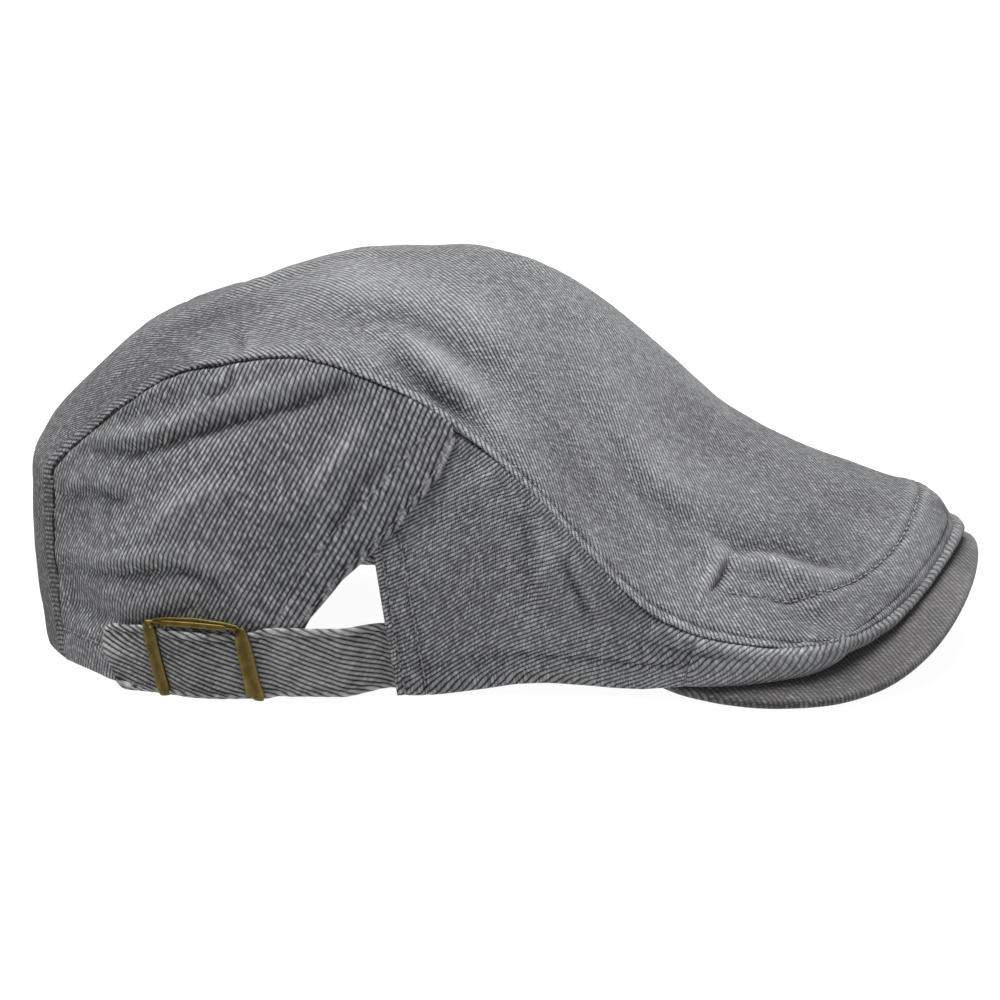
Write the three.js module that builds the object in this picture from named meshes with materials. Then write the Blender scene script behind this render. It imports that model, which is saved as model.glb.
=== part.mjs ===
// A flat cap in washed twill, with a long sloping crown over an arched brim and a buckled strap on each side.
// It stands on its hem: +X points to the brim, +Z up, and the origin is under the middle of its outer box.
import * as THREE from 'three';
import { mergeVertices } from 'three/addons/utils/BufferGeometryUtils.js';

// Driving sizes, in millimetres
const CAP_LENGTH = 274; // back of the crown to the front edge of the brim
const HEAD_WIDTH = 155; // across the head opening, at the hem
const CROWN_HEIGHT = 113.7; // hem to the highest point
const BRIM_WIDTH = 186; // across the brim at its widest
const BRIM_REVEAL = 10; // how much of the brim shows in front of the crown
const CLOTH = 1.2; // one layer of twill
const BRIM_THICKNESS = 3; // stiffener with its cover
const SEAM_GAP = 0.4; // between the edges of two pieces that are sewn together
const LAY_GAP = 0.5; // between two pieces that lie on each other
const STRAP_WIDTH = 20;
const STRAP_THICKNESS = 1.6;
const STRAP_REACH = 87; // from the front panel's rear edge to the strap's free end
const STRAP_TUCK = 8; // hidden behind the front panel
const STRAP_END_STAND = 4; // how far the free end stands off the cap
const STRAP_LIFT = 1.7; // lower edge of the strap above the hem
const BUCKLE_DISTANCE = 54; // from the front panel's rear edge to the buckle's middle
const BUCKLE_LENGTH = 32.5;
const BUCKLE_BAR = 3.4; // width of the two side bars
const BUCKLE_PLATE = 1.2; // thickness of the metal
const BUCKLE_RAIL = 1.6; // height of the top and bottom rails
const CENTRE_BAR = 2; // width of the bar that the strap passes over
const STRAP_PINCH = 2.4; // how much narrower the strap is inside the buckle
const KEEPER_THICKNESS = 0.9; // tab behind the strap that holds the centre bar
const KEEPER_LENGTH = 18;

// Sizes that follow from them
const HALF_LENGTH = CAP_LENGTH / 2;
const HALF_HEAD = HEAD_WIDTH / 2;
const LAP = CLOTH + LAY_GAP; // how far the rear panel stands outside the front one

// The seam beside the top panel, from the tail to the corner of its front edge, a row for each section.
// x is a share of half the length, y of half the head width and z of the crown height. ridge is the middle
// line of the top panel. bulge is how far the side wall swells, a share of the crown height, and bell how
// much the top panel flares like a bell, from 0 to 1.
const SECTIONS = [
  { x: -0.948, y: 0.43, z: 0.495, ridgeX: -0.995, ridgeZ: 0.482, bulge: 0.012, bell: 0 },
  { x: -0.883, y: 0.516, z: 0.583, ridgeX: -0.956, ridgeZ: 0.562, bulge: 0.02, bell: 0 },
  { x: -0.803, y: 0.587, z: 0.673, ridgeX: -0.885, ridgeZ: 0.656, bulge: 0.035, bell: 0 },
  { x: -0.693, y: 0.652, z: 0.765, ridgeX: -0.76, ridgeZ: 0.785, bulge: 0.055, bell: 0 },
  { x: -0.569, y: 0.71, z: 0.806, ridgeX: -0.613, ridgeZ: 0.873, bulge: 0.07, bell: 0 },
  { x: -0.453, y: 0.755, z: 0.826, ridgeX: -0.453, ridgeZ: 0.943, bulge: 0.08, bell: 0 },
  { x: -0.365, y: 0.778, z: 0.812, ridgeX: -0.336, ridgeZ: 0.986, bulge: 0.082, bell: 0 },
  { x: -0.292, y: 0.797, z: 0.784, ridgeX: -0.241, ridgeZ: 0.998, bulge: 0.08, bell: 0 },
  { x: -0.175, y: 0.839, z: 0.724, ridgeX: -0.131, ridgeZ: 1, bulge: 0.07, bell: 0 },
  { x: -0.051, y: 0.914, z: 0.62, ridgeX: -0.015, ridgeZ: 0.99, bulge: 0.055, bell: 0 },
  { x: 0.066, y: 0.974, z: 0.5, ridgeX: 0.088, ridgeZ: 0.947, bulge: 0.042, bell: 0.05 },
  { x: 0.182, y: 1.019, z: 0.352, ridgeX: 0.219, ridgeZ: 0.842, bulge: 0.03, bell: 0.1 },
  { x: 0.285, y: 1.058, z: 0.235, ridgeX: 0.343, ridgeZ: 0.715, bulge: 0.022, bell: 0.15 },
  { x: 0.387, y: 1.081, z: 0.178, ridgeX: 0.453, ridgeZ: 0.592, bulge: 0.016, bell: 0.2 },
  { x: 0.484, y: 1.092, z: 0.155, ridgeX: 0.577, ridgeZ: 0.507, bulge: 0.012, bell: 0.3 },
  { x: 0.567, y: 1.079, z: 0.145, ridgeX: 0.701, ridgeZ: 0.444, bulge: 0.01, bell: 0.4 },
  { x: 0.624, y: 1.056, z: 0.145, ridgeX: 0.81, ridgeZ: 0.398, bulge: 0.009, bell: 0.55 },
  { x: 0.664, y: 1.024, z: 0.148, ridgeX: 0.887, ridgeZ: 0.372, bulge: 0.008, bell: 0.7 },
  { x: 0.687, y: 1, z: 0.153, ridgeX: 0.931, ridgeZ: 0.333, bulge: 0.008, bell: 0.85 },
  { x: 0.694, y: 0.989, z: 0.155, ridgeX: 0.947, ridgeZ: 0.297, bulge: 0.008, bell: 1 },
];
const CORNER = SECTIONS.length - 1; // the corner of the top panel's front edge
const FRONT = CORNER + 1; // the middle of that edge, one more section round

// The lower edge of the side wall at the first sections, shares as above; lift is its height over the table.
const HEM = [
  { x: -0.92, y: 0.439, lift: 0 },
  { x: -0.872, y: 0.575, lift: 0 },
  { x: -0.79, y: 0.8, lift: 0 },
  { x: -0.68, y: 0.925, lift: 0 },
  { x: -0.556, y: 0.978, lift: 0 },
  { x: -0.416, y: 0.998, lift: 0 },
  { x: -0.285, y: 0.999, lift: 0 },
  { x: -0.168, y: 0.997, lift: 0 },
  { x: -0.058, y: 0.988, lift: 0.013 },
  { x: 0.058, y: 0.978, lift: 0.031 },
  { x: 0.146, y: 0.972, lift: 0.026 },
  { x: 0.219, y: 0.981, lift: 0.02 },
  { x: 0.277, y: 1, lift: 0.02 },
];
const BRIM_SECTION = HEM.length; // the first section that stands on the brim

// From there the wall stands on the brim: turn is the place round the brim in degrees from its front, and
// reveal the brim that shows outside it, a share of BRIM_REVEAL. The last row is the middle of the front.
const ON_BRIM = [
  { turn: 118, reveal: 0.19 },
  { turn: 104, reveal: 0.55 },
  { turn: 88, reveal: 0.88 },
  { turn: 75, reveal: 1.1 },
  { turn: 68, reveal: 1.3 },
  { turn: 64.4, reveal: 1.5 },
  { turn: 63.7, reveal: 1.53 },
  { turn: 0, reveal: 0.55 },
];
const REVEAL_SWELL = 0.11; // more brim shows half way between the last two
const TURN_POWER = 1.3; // sets how the places of the wall spread round the brim's front

// The tail: rows of the top panel below the first section, with the share of the height along its edge.
const TAIL = [
  { share: 0, ridgeX: -0.975, ridgeZ: 0 },
  { share: 0.36, ridgeX: -0.996, ridgeZ: 0.17 },
  { share: 0.72, ridgeX: -1, ridgeZ: 0.335 },
];
const ARCH_POWER = 2.15; // fullness of the arch across the top panel
const FRONT_POWER = 1.77; // roundness of its front edge, seen from above

// The rear edge of the front side panel lies on one section. The rear side panel reaches further forward,
// and its free edge falls to the hem: share is the height on the wall at a place counted in sections.
const OPENING_SECTION = 6.5;
const LAP_SECTION = 8.5;
const LAP_FADE = 0.6; // sections over which the front panel comes out from under the rear one
const LAP_STEP = 1.2; // how far the covered edge stays below the seam, in laps
const FREE_EDGE = [
  { section: 4.4, share: 0 },
  { section: 4.8, share: 0.12 },
  { section: 5.2, share: 0.25 },
  { section: 5.8, share: 0.37 },
  { section: 6.4, share: 0.45 },
  { section: 7, share: 0.53 },
  { section: 7.6, share: 0.65 },
  { section: 8.1, share: 0.77 },
  { section: 8.5, share: 0.93 },
];

// Main folds. section and share give the middle, share from 0 at the hem, or on the ridge, to 1 at the seam.
// run and rise are its half length along and up the side view, width its half width and depth its height,
// all shares of the crown height; a depth below 0 is a hollow.
const FOLDS = [
  { panel: 'side', section: 1.9, share: 0.62, run: 0.12, rise: 0.05, width: 0.06, depth: -0.016 },
  { panel: 'side', section: 4.2, share: 0.86, run: 0.2, rise: 0.06, width: 0.06, depth: -0.016 },
  { panel: 'side', section: 0.9, share: 0.3, run: 0.12, rise: -0.02, width: 0.05, depth: -0.014 },
  { panel: 'side', section: 3.1, share: 0.55, run: 0.18, rise: 0.08, width: 0.09, depth: 0.012 },
  { panel: 'top', section: 8.6, share: 0.76, run: 0.12, rise: -0.13, width: 0.06, depth: -0.022 },
  { panel: 'top', section: 9.6, share: 0.45, run: 0.08, rise: -0.24, width: 0.09, depth: -0.014 },
  { panel: 'top', section: 5.8, share: 0.6, run: 0.26, rise: 0.03, width: 0.08, depth: -0.014 },
  { panel: 'top', section: 13.4, share: 0.62, run: 0.26, rise: -0.12, width: 0.07, depth: 0.014 },
];
const FOLD_SOFTNESS = 0.14; // share of a panel over which its folds die out towards a seam

// The brim, seen from above: an oval whose rear half is the shorter, cut off at its corners by the head band.
const BRIM_POWER = 2; // 2 is an ellipse, more is squarer
const BRIM_WIDEST = 0.555 * HALF_LENGTH; // where it is widest
const BRIM_FRONT_REACH = HALF_LENGTH - BRIM_WIDEST;
const BRIM_REAR_REACH = 0.88 * BRIM_FRONT_REACH;
const BRIM_CORNER_TURN = 136;
const BRIM_SIDE_HEIGHT = 0.88 * BRIM_THICKNESS; // its upper edge at the sides, just clear of the table
const BRIM_FRONT_HEIGHT = 0.232 * CROWN_HEIGHT;
const BRIM_RISE_POWER = 3.23; // how late the edge rises towards the front
const BRIM_CROWNING = 0.024 * CROWN_HEIGHT; // how far it swells between its edge and the head band
const BAND_X = 0.467 * HALF_LENGTH; // where the brim ends inside the cap, at its middle
const BAND_HEIGHT = 0.325 * CROWN_HEIGHT;
const BAND_CORNER_X = 0.263 * HALF_LENGTH;
const BAND_CORNER_Y = 0.83 * HALF_HEAD;

// How finely each piece is drawn
const STEPS_PER_SECTION = 2;
const HALF_ACROSS = 7; // steps from the ridge to a seam
const BRIM_STEP = 8; // degrees
const BRIM_RINGS = [0.13, 0.3, 0.55, 1]; // shares of the way from the brim's edge to the head band
const STRAP_STEP = 4;
const STRAP_ACROSS = 4;
const KEEPER_STEPS = 6;
const NUDGE = 0.01; // step used to measure a slope

const lerp = THREE.MathUtils.lerp;
const smooth = (t) => THREE.MathUtils.smoothstep(t, 0, 1);
const radians = THREE.MathUtils.degToRad;
const count = (n) => Array.from({ length: n }, (_, i) => i);

// A smooth curve through equally spaced values, at a place counted in rows; a row itself has its exact value.
function through(values, place) {
  if (values[place] !== undefined) return values[place];
  const last = values.length - 1;
  const i = THREE.MathUtils.clamp(Math.floor(place), 0, last - 1);
  const t = place - i;
  const [p1, p2] = [values[i], values[i + 1]];
  const p0 = i > 0 ? values[i - 1] : 2 * p1 - p2;
  const p3 = i + 2 <= last ? values[i + 2] : 2 * p2 - p1;
  const bend = 2 * p0 - 5 * p1 + 4 * p2 - p3;
  const twist = 3 * p1 - p0 - 3 * p2 + p3;
  return 0.5 * (2 * p1 + (p2 - p0) * t + bend * t * t + twist * t ** 3);
}
const column = (table, name, place) => through(table.map((row) => row[name]), place);

// A line of smooth steps through stations { at, value }, level before the first and after the last.
function profile(stations, at) {
  const next = stations.findIndex((station) => station.at > at);
  if (next === 0) return stations[0].value;
  if (next < 0) return stations[stations.length - 1].value;
  const [a, b] = [stations[next - 1], stations[next]];
  return lerp(a.value, b.value, smooth((at - a.at) / (b.at - a.at)));
}

// The brim's upper surface

function brimEdge(turn) {
  const a = radians(turn);
  const along = Math.sign(Math.cos(a)) * Math.abs(Math.cos(a)) ** (2 / BRIM_POWER);
  const reach = along > 0 ? BRIM_FRONT_REACH : BRIM_REAR_REACH;
  const side = Math.sign(Math.sin(a)) * Math.abs(Math.sin(a)) ** (2 / BRIM_POWER);
  const rise = Math.max(0, Math.cos(a)) ** BRIM_RISE_POWER;
  const z = lerp(BRIM_SIDE_HEIGHT, BRIM_FRONT_HEIGHT, rise);
  return new THREE.Vector3(BRIM_WIDEST + reach * along, (-BRIM_WIDTH / 2) * side, z);
}

function brimBand(turn) {
  const v = turn / BRIM_CORNER_TURN;
  const x = lerp(BAND_X, BAND_CORNER_X, Math.abs(v) ** 2.2);
  const z = lerp(BAND_HEIGHT, BRIM_SIDE_HEIGHT, Math.abs(v) ** 1.6);
  return new THREE.Vector3(x, -BAND_CORNER_Y * v, z);
}

function brimTop(turn, inward) {
  const point = brimEdge(turn).lerp(brimBand(turn), inward);
  point.z += BRIM_CROWNING * 4 * inward * (1 - inward) * Math.cos(radians(turn) / 1.6);
  return point;
}

function onBrim(turn, reveal) {
  const point = brimTop(turn, reveal / brimEdge(turn).distanceTo(brimBand(turn)));
  point.z += LAY_GAP;
  return point;
}

// The seam at a place counted in sections, and the foot of the wall below it, depth inside its outer face

function seamPoint(place) {
  if (place <= CORNER) {
    const x = HALF_LENGTH * column(SECTIONS, 'x', place);
    const y = -HALF_HEAD * column(SECTIONS, 'y', place);
    return new THREE.Vector3(x, y, CROWN_HEIGHT * column(SECTIONS, 'z', place));
  }
  return topForm(CORNER, FRONT - place);
}

function hemPoint(place, depth) {
  const at = (p) => new THREE.Vector3(HALF_LENGTH * column(HEM, 'x', p), -HALF_HEAD * column(HEM, 'y', p), 0);
  const along = at(place + NUDGE).sub(at(place - NUDGE)).normalize();
  const point = at(place).add(new THREE.Vector3(-along.y, along.x, 0).multiplyScalar(depth));
  return point.setZ(CROWN_HEIGHT * Math.max(0, column(HEM, 'lift', place)));
}

function brimFoot(place, depth) {
  const row = place - BRIM_SECTION;
  const share = Math.max(0, place - CORNER);
  const corner = ON_BRIM[CORNER - BRIM_SECTION];
  const swell = REVEAL_SWELL * Math.sin(Math.PI * share);
  if (share > 0) {
    const reveal = lerp(corner.reveal, ON_BRIM.at(-1).reveal, share) + swell;
    const turn = corner.turn * Math.sign(1 - share) * Math.abs(1 - share) ** TURN_POWER;
    return onBrim(turn, BRIM_REVEAL * reveal + depth);
  }
  const rows = ON_BRIM.slice(0, -1);
  return onBrim(column(rows, 'turn', row), BRIM_REVEAL * column(rows, 'reveal', row) + depth);
}

function footPoint(place, depth = 0) {
  if (place <= BRIM_SECTION - 1) return hemPoint(place, depth);
  if (place >= BRIM_SECTION) return brimFoot(place, depth);
  const share = place - BRIM_SECTION + 1;
  return hemPoint(BRIM_SECTION - 1, depth).lerp(brimFoot(BRIM_SECTION, depth), share);
}

// The side wall of the right side: up goes from 0 at the foot to 1 at the seam

function wallForm(place, up) {
  const foot = footPoint(place);
  const seam = seamPoint(place);
  const along = footPoint(place + NUDGE).sub(footPoint(place - NUDGE)).setZ(0).normalize();
  const bulge = CROWN_HEIGHT * column(SECTIONS, 'bulge', Math.min(place, CORNER)) * 4 * up * (1 - up);
  return foot.lerp(seam, up).addScaledVector(new THREE.Vector3(along.y, -along.x, 0), bulge);
}

// The right half of the top panel: across goes from 0 on the ridge to 1 at the seam. Places below 0 are
// on the tail.
function topForm(place, across) {
  const arch = Math.abs(across) ** ARCH_POWER;
  if (place < 0) {
    const row = place + TAIL.length;
    const ends = SECTIONS.slice(0, 2).map((section, i) => ({ ...section, share: 1 + 0.3 * i }));
    const rows = [...TAIL, ...ends];
    const edge = wallForm(0, column(rows, 'share', row));
    const x = lerp(HALF_LENGTH * column(rows, 'ridgeX', row), edge.x, arch);
    const z = lerp(CROWN_HEIGHT * column(rows, 'ridgeZ', row), edge.z, arch);
    return new THREE.Vector3(x, edge.y * across, z);
  }
  const edge = seamPoint(Math.min(place, CORNER));
  const bell = column(SECTIONS, 'bell', place);
  const flare = 1 - Math.cos((Math.PI / 2) * across) ** 2;
  const fall = lerp(arch, flare, bell);
  const back = Math.abs(across) ** lerp(ARCH_POWER, FRONT_POWER, bell);
  const x = lerp(HALF_LENGTH * column(SECTIONS, 'ridgeX', place), edge.x, back);
  const z = lerp(CROWN_HEIGHT * column(SECTIONS, 'ridgeZ', place), edge.z, fall);
  return new THREE.Vector3(x, edge.y * across, z);
}

function normalOf(surface, a, b) {
  const da = surface(a + NUDGE, b).sub(surface(a - NUDGE, b));
  const db = surface(a, b + NUDGE).sub(surface(a, b - NUDGE));
  return da.cross(db).normalize();
}
const wallNormal = (place, up) => normalOf(wallForm, place, up);
const topNormal = (place, across) => normalOf(topForm, place, across).negate();

// Height that the folds of one panel add at a point, measured in the side view
function foldHeight(panel, form, point) {
  const heights = FOLDS.filter((fold) => fold.panel === panel).map((fold) => {
    const middle = form(fold.section, fold.share);
    const run = new THREE.Vector2(fold.run, fold.rise).multiplyScalar(CROWN_HEIGHT);
    const away = new THREE.Vector2(point.x - middle.x, point.z - middle.z);
    const along = away.dot(run) / run.lengthSq();
    const off = away.cross(run) / run.length() / (fold.width * CROWN_HEIGHT);
    return fold.depth * CROWN_HEIGHT * Math.exp(-(along ** 4) - off ** 2);
  });
  return heights.reduce((sum, height) => sum + height, 0);
}

function wall(place, up, depth = 0) {
  const point = wallForm(place, up);
  const fade = smooth((1 - up) / FOLD_SOFTNESS) * smooth(up / FOLD_SOFTNESS) * smooth(place / 0.8);
  return point.addScaledVector(wallNormal(place, up), fade * foldHeight('side', wallForm, point) - depth);
}

function top(place, across, depth = 0) {
  const side = Math.abs(across);
  const point = topForm(place, side);
  const fade = smooth((1 - side) / FOLD_SOFTNESS) * smooth(side / FOLD_SOFTNESS);
  point.addScaledVector(topNormal(place, side), fade * foldHeight('top', topForm, point) - depth);
  if (across > 0) point.y = -point.y;
  return point;
}

// At a seam both cloths end on one mitre, which leads into the seam and crosses the whole cloth.
function mitre(topN, wallN) {
  const inward = topN.clone().add(wallN).normalize();
  return inward.multiplyScalar(-CLOTH / inward.dot(topN));
}
const seamMitre = (place) => {
  if (place > CORNER) return mitre(topNormal(CORNER, FRONT - place), wallNormal(place, 1));
  return mitre(topNormal(place, 1), wallNormal(place, 1));
};
const tailShare = (row) => column([...TAIL, { share: 1 }], 'share', row);
const tailMitre = (row) => mitre(topNormal(row - TAIL.length, 1), wallNormal(0, tailShare(row)));

// The point where a surface ends, half a seam gap back from its edge: da and db lead away from that edge.
function stepBack(surface, a, b, da, db) {
  const point = surface(a, b);
  const inward = surface(a + da * NUDGE, b + db * NUDGE).sub(point);
  const before = surface(a - db * NUDGE, b - da * NUDGE);
  const along = surface(a + db * NUDGE, b + da * NUDGE).sub(before).normalize();
  return point.add(inward.addScaledVector(along, -inward.dot(along)).setLength(SEAM_GAP / 2));
}

const mirrorPoint = (point) => new THREE.Vector3(point.x, -point.y, point.z);

// Solids

function solid(points, faces) {
  const positions = faces.flatMap((face) => face.flatMap((i) => points[i].toArray()));
  const loose = new THREE.BufferGeometry();
  loose.setAttribute('position', new THREE.Float32BufferAttribute(positions, 3));
  const geometry = mergeVertices(loose, 1e-3);
  const index = [];
  const old = geometry.index.array;
  for (let i = 0; i < old.length; i += 3) {
    const [a, b, c] = [old[i], old[i + 1], old[i + 2]];
    if (a !== b && b !== c && c !== a) index.push(a, b, c);
  }
  geometry.setIndex(index);
  return outward(geometry);
}

// The same geometry with its faces turned out.
function outward(geometry) {
  const position = geometry.attributes.position;
  const index = geometry.index.array;
  const corner = (i) => new THREE.Vector3().fromBufferAttribute(position, index[i]);
  let volume = 0;
  for (let i = 0; i < index.length; i += 3) volume += corner(i).dot(corner(i + 1).cross(corner(i + 2)));
  if (volume < 0) geometry.setIndex(Array.from(index).reverse());
  geometry.computeVertexNormals();
  return geometry;
}

function mirrored(geometry) {
  const copy = geometry.clone();
  copy.scale(1, -1, 1);
  return outward(copy);
}

// A sheet with thickness, from its outer and its inner grid of points. Cells that are not filled are holes.
function sheet(outer, inner, filled = () => true) {
  const rows = outer.length;
  const columns = outer[0].length;
  const points = [...outer.flat(), ...inner.flat()];
  const at = (side, r, c) => side * rows * columns + r * columns + c;
  const has = (r, c) => r >= 0 && c >= 0 && r < rows - 1 && c < columns - 1 && filled(r, c);
  const faces = [];
  const quad = (a, b, c, d) => {
    const shorter = points[a].distanceTo(points[c]) < points[b].distanceTo(points[d]) - 1e-6;
    faces.push(...(shorter ? [[a, b, c], [a, c, d]] : [[b, c, d], [b, d, a]]));
  };
  const rim = (r0, c0, r1, c1) => quad(at(0, r1, c1), at(0, r0, c0), at(1, r0, c0), at(1, r1, c1));
  for (const r of count(rows - 1)) {
    for (const c of count(columns - 1)) {
      if (!has(r, c)) continue;
      quad(at(0, r, c), at(0, r, c + 1), at(0, r + 1, c + 1), at(0, r + 1, c));
      quad(at(1, r, c), at(1, r + 1, c), at(1, r + 1, c + 1), at(1, r, c + 1));
      if (!has(r - 1, c)) rim(r, c, r, c + 1);
      if (!has(r, c + 1)) rim(r, c + 1, r + 1, c + 1);
      if (!has(r + 1, c)) rim(r + 1, c + 1, r + 1, c);
      if (!has(r, c - 1)) rim(r + 1, c, r, c);
    }
  }
  return solid(points, faces);
}

// Places where the pieces that meet at a seam share their points
const steps = (from, to) => {
  const places = count((to - from) * STEPS_PER_SECTION + 1);
  return places.map((i) => from + i / STEPS_PER_SECTION);
};
const halfAcross = count(HALF_ACROSS + 1).map((i) => {
  const t = i / HALF_ACROSS;
  return 1.25 * t - 0.25 * t ** 3;
});
const across = [...halfAcross.slice(1).reverse().map((v) => -v), ...halfAcross];
const tailRows = steps(0, TAIL.length);
const upShares = tailRows.map(tailShare);

// Top panel: a long strip from the hem at the back, over the crown, to the rounded edge above the brim
function topPanel() {
  const places = steps(-TAIL.length, CORNER);
  const outer = [];
  const inner = [];
  for (const place of places) {
    const outerRow = [];
    const innerRow = [];
    for (const v of across) {
      const side = Math.abs(v);
      const atSeam = side === 1;
      const atFront = place === CORNER;
      let point = top(place, -side);
      let inside = topNormal(place, side).multiplyScalar(-CLOTH);
      if (atSeam) point = stepBack(topForm, place, 1, 0, -1);
      if (atFront) point = stepBack(topForm, place, side, -1, 0);
      if (atFront) inside = seamMitre(FRONT - side);
      else if (atSeam) inside = place < 0 ? tailMitre(place + TAIL.length) : seamMitre(place);
      if (place === places[0]) {
        point.setZ(0);
        inside.setZ(0).setLength(CLOTH);
      }
      const within = point.clone().add(inside);
      outerRow.push(v > 0 ? mirrorPoint(point) : point);
      innerRow.push(v > 0 ? mirrorPoint(within) : within);
    }
    outer.push(outerRow);
    inner.push(innerRow);
  }
  return sheet(outer, inner);
}

// Rear side panel: from the tail forward to its free edge, which laps over the front side panel
function freeEdge(place) {
  const next = FREE_EDGE.findIndex((row) => row.section >= place);
  if (next === 0) return FREE_EDGE[0].share;
  const [a, b] = [FREE_EDGE[next - 1], FREE_EDGE[next]];
  return lerp(a.share, b.share, (place - a.section) / (b.section - a.section));
}

function rearSidePanel() {
  const outer = [];
  const inner = [];
  for (const place of steps(0, LAP_SECTION)) {
    const low = freeEdge(place);
    const outerRow = [];
    const innerRow = [];
    for (const share of upShares) {
      const up = lerp(low, 1, share);
      let point = wall(place, up);
      let inside = wallNormal(place, up).multiplyScalar(-CLOTH);
      if (up === 1) {
        point = stepBack(wallForm, place, 1, 0, -1);
        inside = seamMitre(place);
      } else if (place === 0) {
        point = stepBack(wallForm, 0, up, 1, 0);
        inside = tailMitre(tailRows[upShares.indexOf(share)]);
      }
      if (up === 0) inside.setZ(0).setLength(CLOTH);
      outerRow.push(point);
      innerRow.push(point.clone().add(inside));
    }
    outer.push(outerRow);
    inner.push(innerRow);
  }
  return sheet(outer, inner);
}

// Front side panel: from its rear edge forward, then as a narrow band round the front, to the other side
function frontSidePanel() {
  const round = halfAcross.slice(0, -1).reverse().map((v) => FRONT - v);
  const places = [...steps(OPENING_SECTION, CORNER), ...round];
  const outer = [];
  const inner = [];
  for (const place of places) {
    const under = 1 - smooth((place - LAP_SECTION) / LAP_FADE);
    const depth = LAP * under;
    const height = wallForm(place, 1).distanceTo(wallForm(place, 0));
    const highest = 1 - (under * LAP_STEP * LAP) / height;
    const outerRow = [];
    const innerRow = [];
    for (const share of upShares) {
      const up = share * highest;
      let point = wall(place, up, depth);
      let within = wall(place, up, depth + CLOTH);
      if (share === 1) {
        const edge = stepBack(wallForm, place, 1, 0, -1);
        const mitred = edge.clone().add(seamMitre(place));
        point = edge.lerp(point, under);
        within = mitred.lerp(within, under);
      }
      if (share === 0) {
        point = footPoint(place, depth);
        within = footPoint(place, depth + CLOTH);
      }
      outerRow.push(point);
      innerRow.push(within);
    }
    outer.push(outerRow);
    inner.push(innerRow);
  }
  const both = (grid) => [...grid, ...grid.slice(0, -1).reverse().map((row) => row.map(mirrorPoint))];
  return sheet(both(outer), both(inner));
}

// Brim: a stiff, arched peak with a rounded edge
function brim() {
  const halfThick = BRIM_THICKNESS / 2;
  const round = [0, 0.3, 1]; // shares of half the thickness, in from the edge
  const turns = count((2 * BRIM_CORNER_TURN) / BRIM_STEP + 1).map((i) => i * BRIM_STEP - BRIM_CORNER_TURN);
  const upper = [];
  const lower = [];
  for (const turn of turns) {
    const span = brimEdge(turn).distanceTo(brimBand(turn));
    const inwards = [...round.map((r) => (r * halfThick) / span), ...BRIM_RINGS];
    const middle = inwards.map((inward) => {
      const normal = normalOf(brimTop, turn, inward);
      if (normal.z < 0) normal.negate();
      return { point: brimTop(turn, inward).addScaledVector(normal, -halfThick), normal };
    });
    const half = inwards.map((_, i) => {
      return i < round.length ? halfThick * Math.sqrt(1 - (1 - round[i]) ** 2) : halfThick;
    });
    upper.push(middle.map(({ point, normal }, i) => point.clone().addScaledVector(normal, half[i])));
    lower.push(middle.map(({ point, normal }, i) => point.clone().addScaledVector(normal, -half[i])));
  }
  return sheet(upper, lower);
}

// The strap, its buckle and keeper lie on the side wall. along is the distance back from the front panel's
// rear edge, height the height above the hem and out the distance outside the wall.
const ruler = [];
for (const i of count(70)) {
  const place = OPENING_SECTION + 1 - i * 0.1;
  const point = alongWall(place, STRAP_WIDTH / 2, STRAP_THICKNESS);
  const before = ruler.at(-1);
  ruler.push({ place, point, along: before ? before.along + point.distanceTo(before.point) : 0 });
}
const rulerStart = ruler.find((mark) => mark.place <= OPENING_SECTION + NUDGE).along;

function alongWall(place, height, out) {
  const foot = footPoint(place).z;
  const up = (height - foot) / (seamPoint(place).z - foot);
  return wall(place, up, -out);
}

function onWall(along, height, out) {
  const target = along + rulerStart;
  const next = Math.max(1, ruler.findIndex((mark) => mark.along > target));
  const [a, b] = [ruler[next - 1], ruler[next]];
  return alongWall(lerp(a.place, b.place, (target - a.along) / (b.along - a.along)), height, out);
}

// Layers under the buckle, outwards from the wall
const KEEPER_OUT = LAY_GAP;
const CENTRE_BAR_OUT = KEEPER_OUT + KEEPER_THICKNESS + SEAM_GAP;
const STRAP_OVER_BAR = CENTRE_BAR_OUT + BUCKLE_PLATE + SEAM_GAP;
const STRAP_UNDER_SIDE = CENTRE_BAR_OUT;
const SIDE_BAR_OUT = STRAP_UNDER_SIDE + STRAP_THICKNESS + SEAM_GAP;
const STRAP_INSIDE = -(LAP + CLOTH + 2 * LAY_GAP + STRAP_THICKNESS);
const BUCKLE_HALF = BUCKLE_LENGTH / 2;
const BUCKLE_WINDOW = STRAP_WIDTH - STRAP_PINCH + 2 * SEAM_GAP;
const STRAP_MIDDLE = STRAP_LIFT + STRAP_WIDTH / 2;

// How far the strap's inner face stands outside the wall, and its width
const STRAP_ROUTE = [
  { at: 1, value: STRAP_INSIDE },
  { at: 0.4 * (BUCKLE_DISTANCE - BUCKLE_HALF), value: LAY_GAP },
  { at: BUCKLE_DISTANCE - 1.3 * BUCKLE_HALF, value: LAY_GAP },
  { at: BUCKLE_DISTANCE - BUCKLE_HALF, value: STRAP_UNDER_SIDE },
  { at: BUCKLE_DISTANCE - BUCKLE_HALF + BUCKLE_BAR, value: STRAP_UNDER_SIDE },
  { at: BUCKLE_DISTANCE - CENTRE_BAR, value: STRAP_OVER_BAR },
  { at: BUCKLE_DISTANCE + CENTRE_BAR, value: STRAP_OVER_BAR },
  { at: BUCKLE_DISTANCE + BUCKLE_HALF - BUCKLE_BAR, value: STRAP_UNDER_SIDE },
  { at: BUCKLE_DISTANCE + BUCKLE_HALF, value: STRAP_UNDER_SIDE },
  { at: STRAP_REACH, value: STRAP_END_STAND },
];
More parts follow.
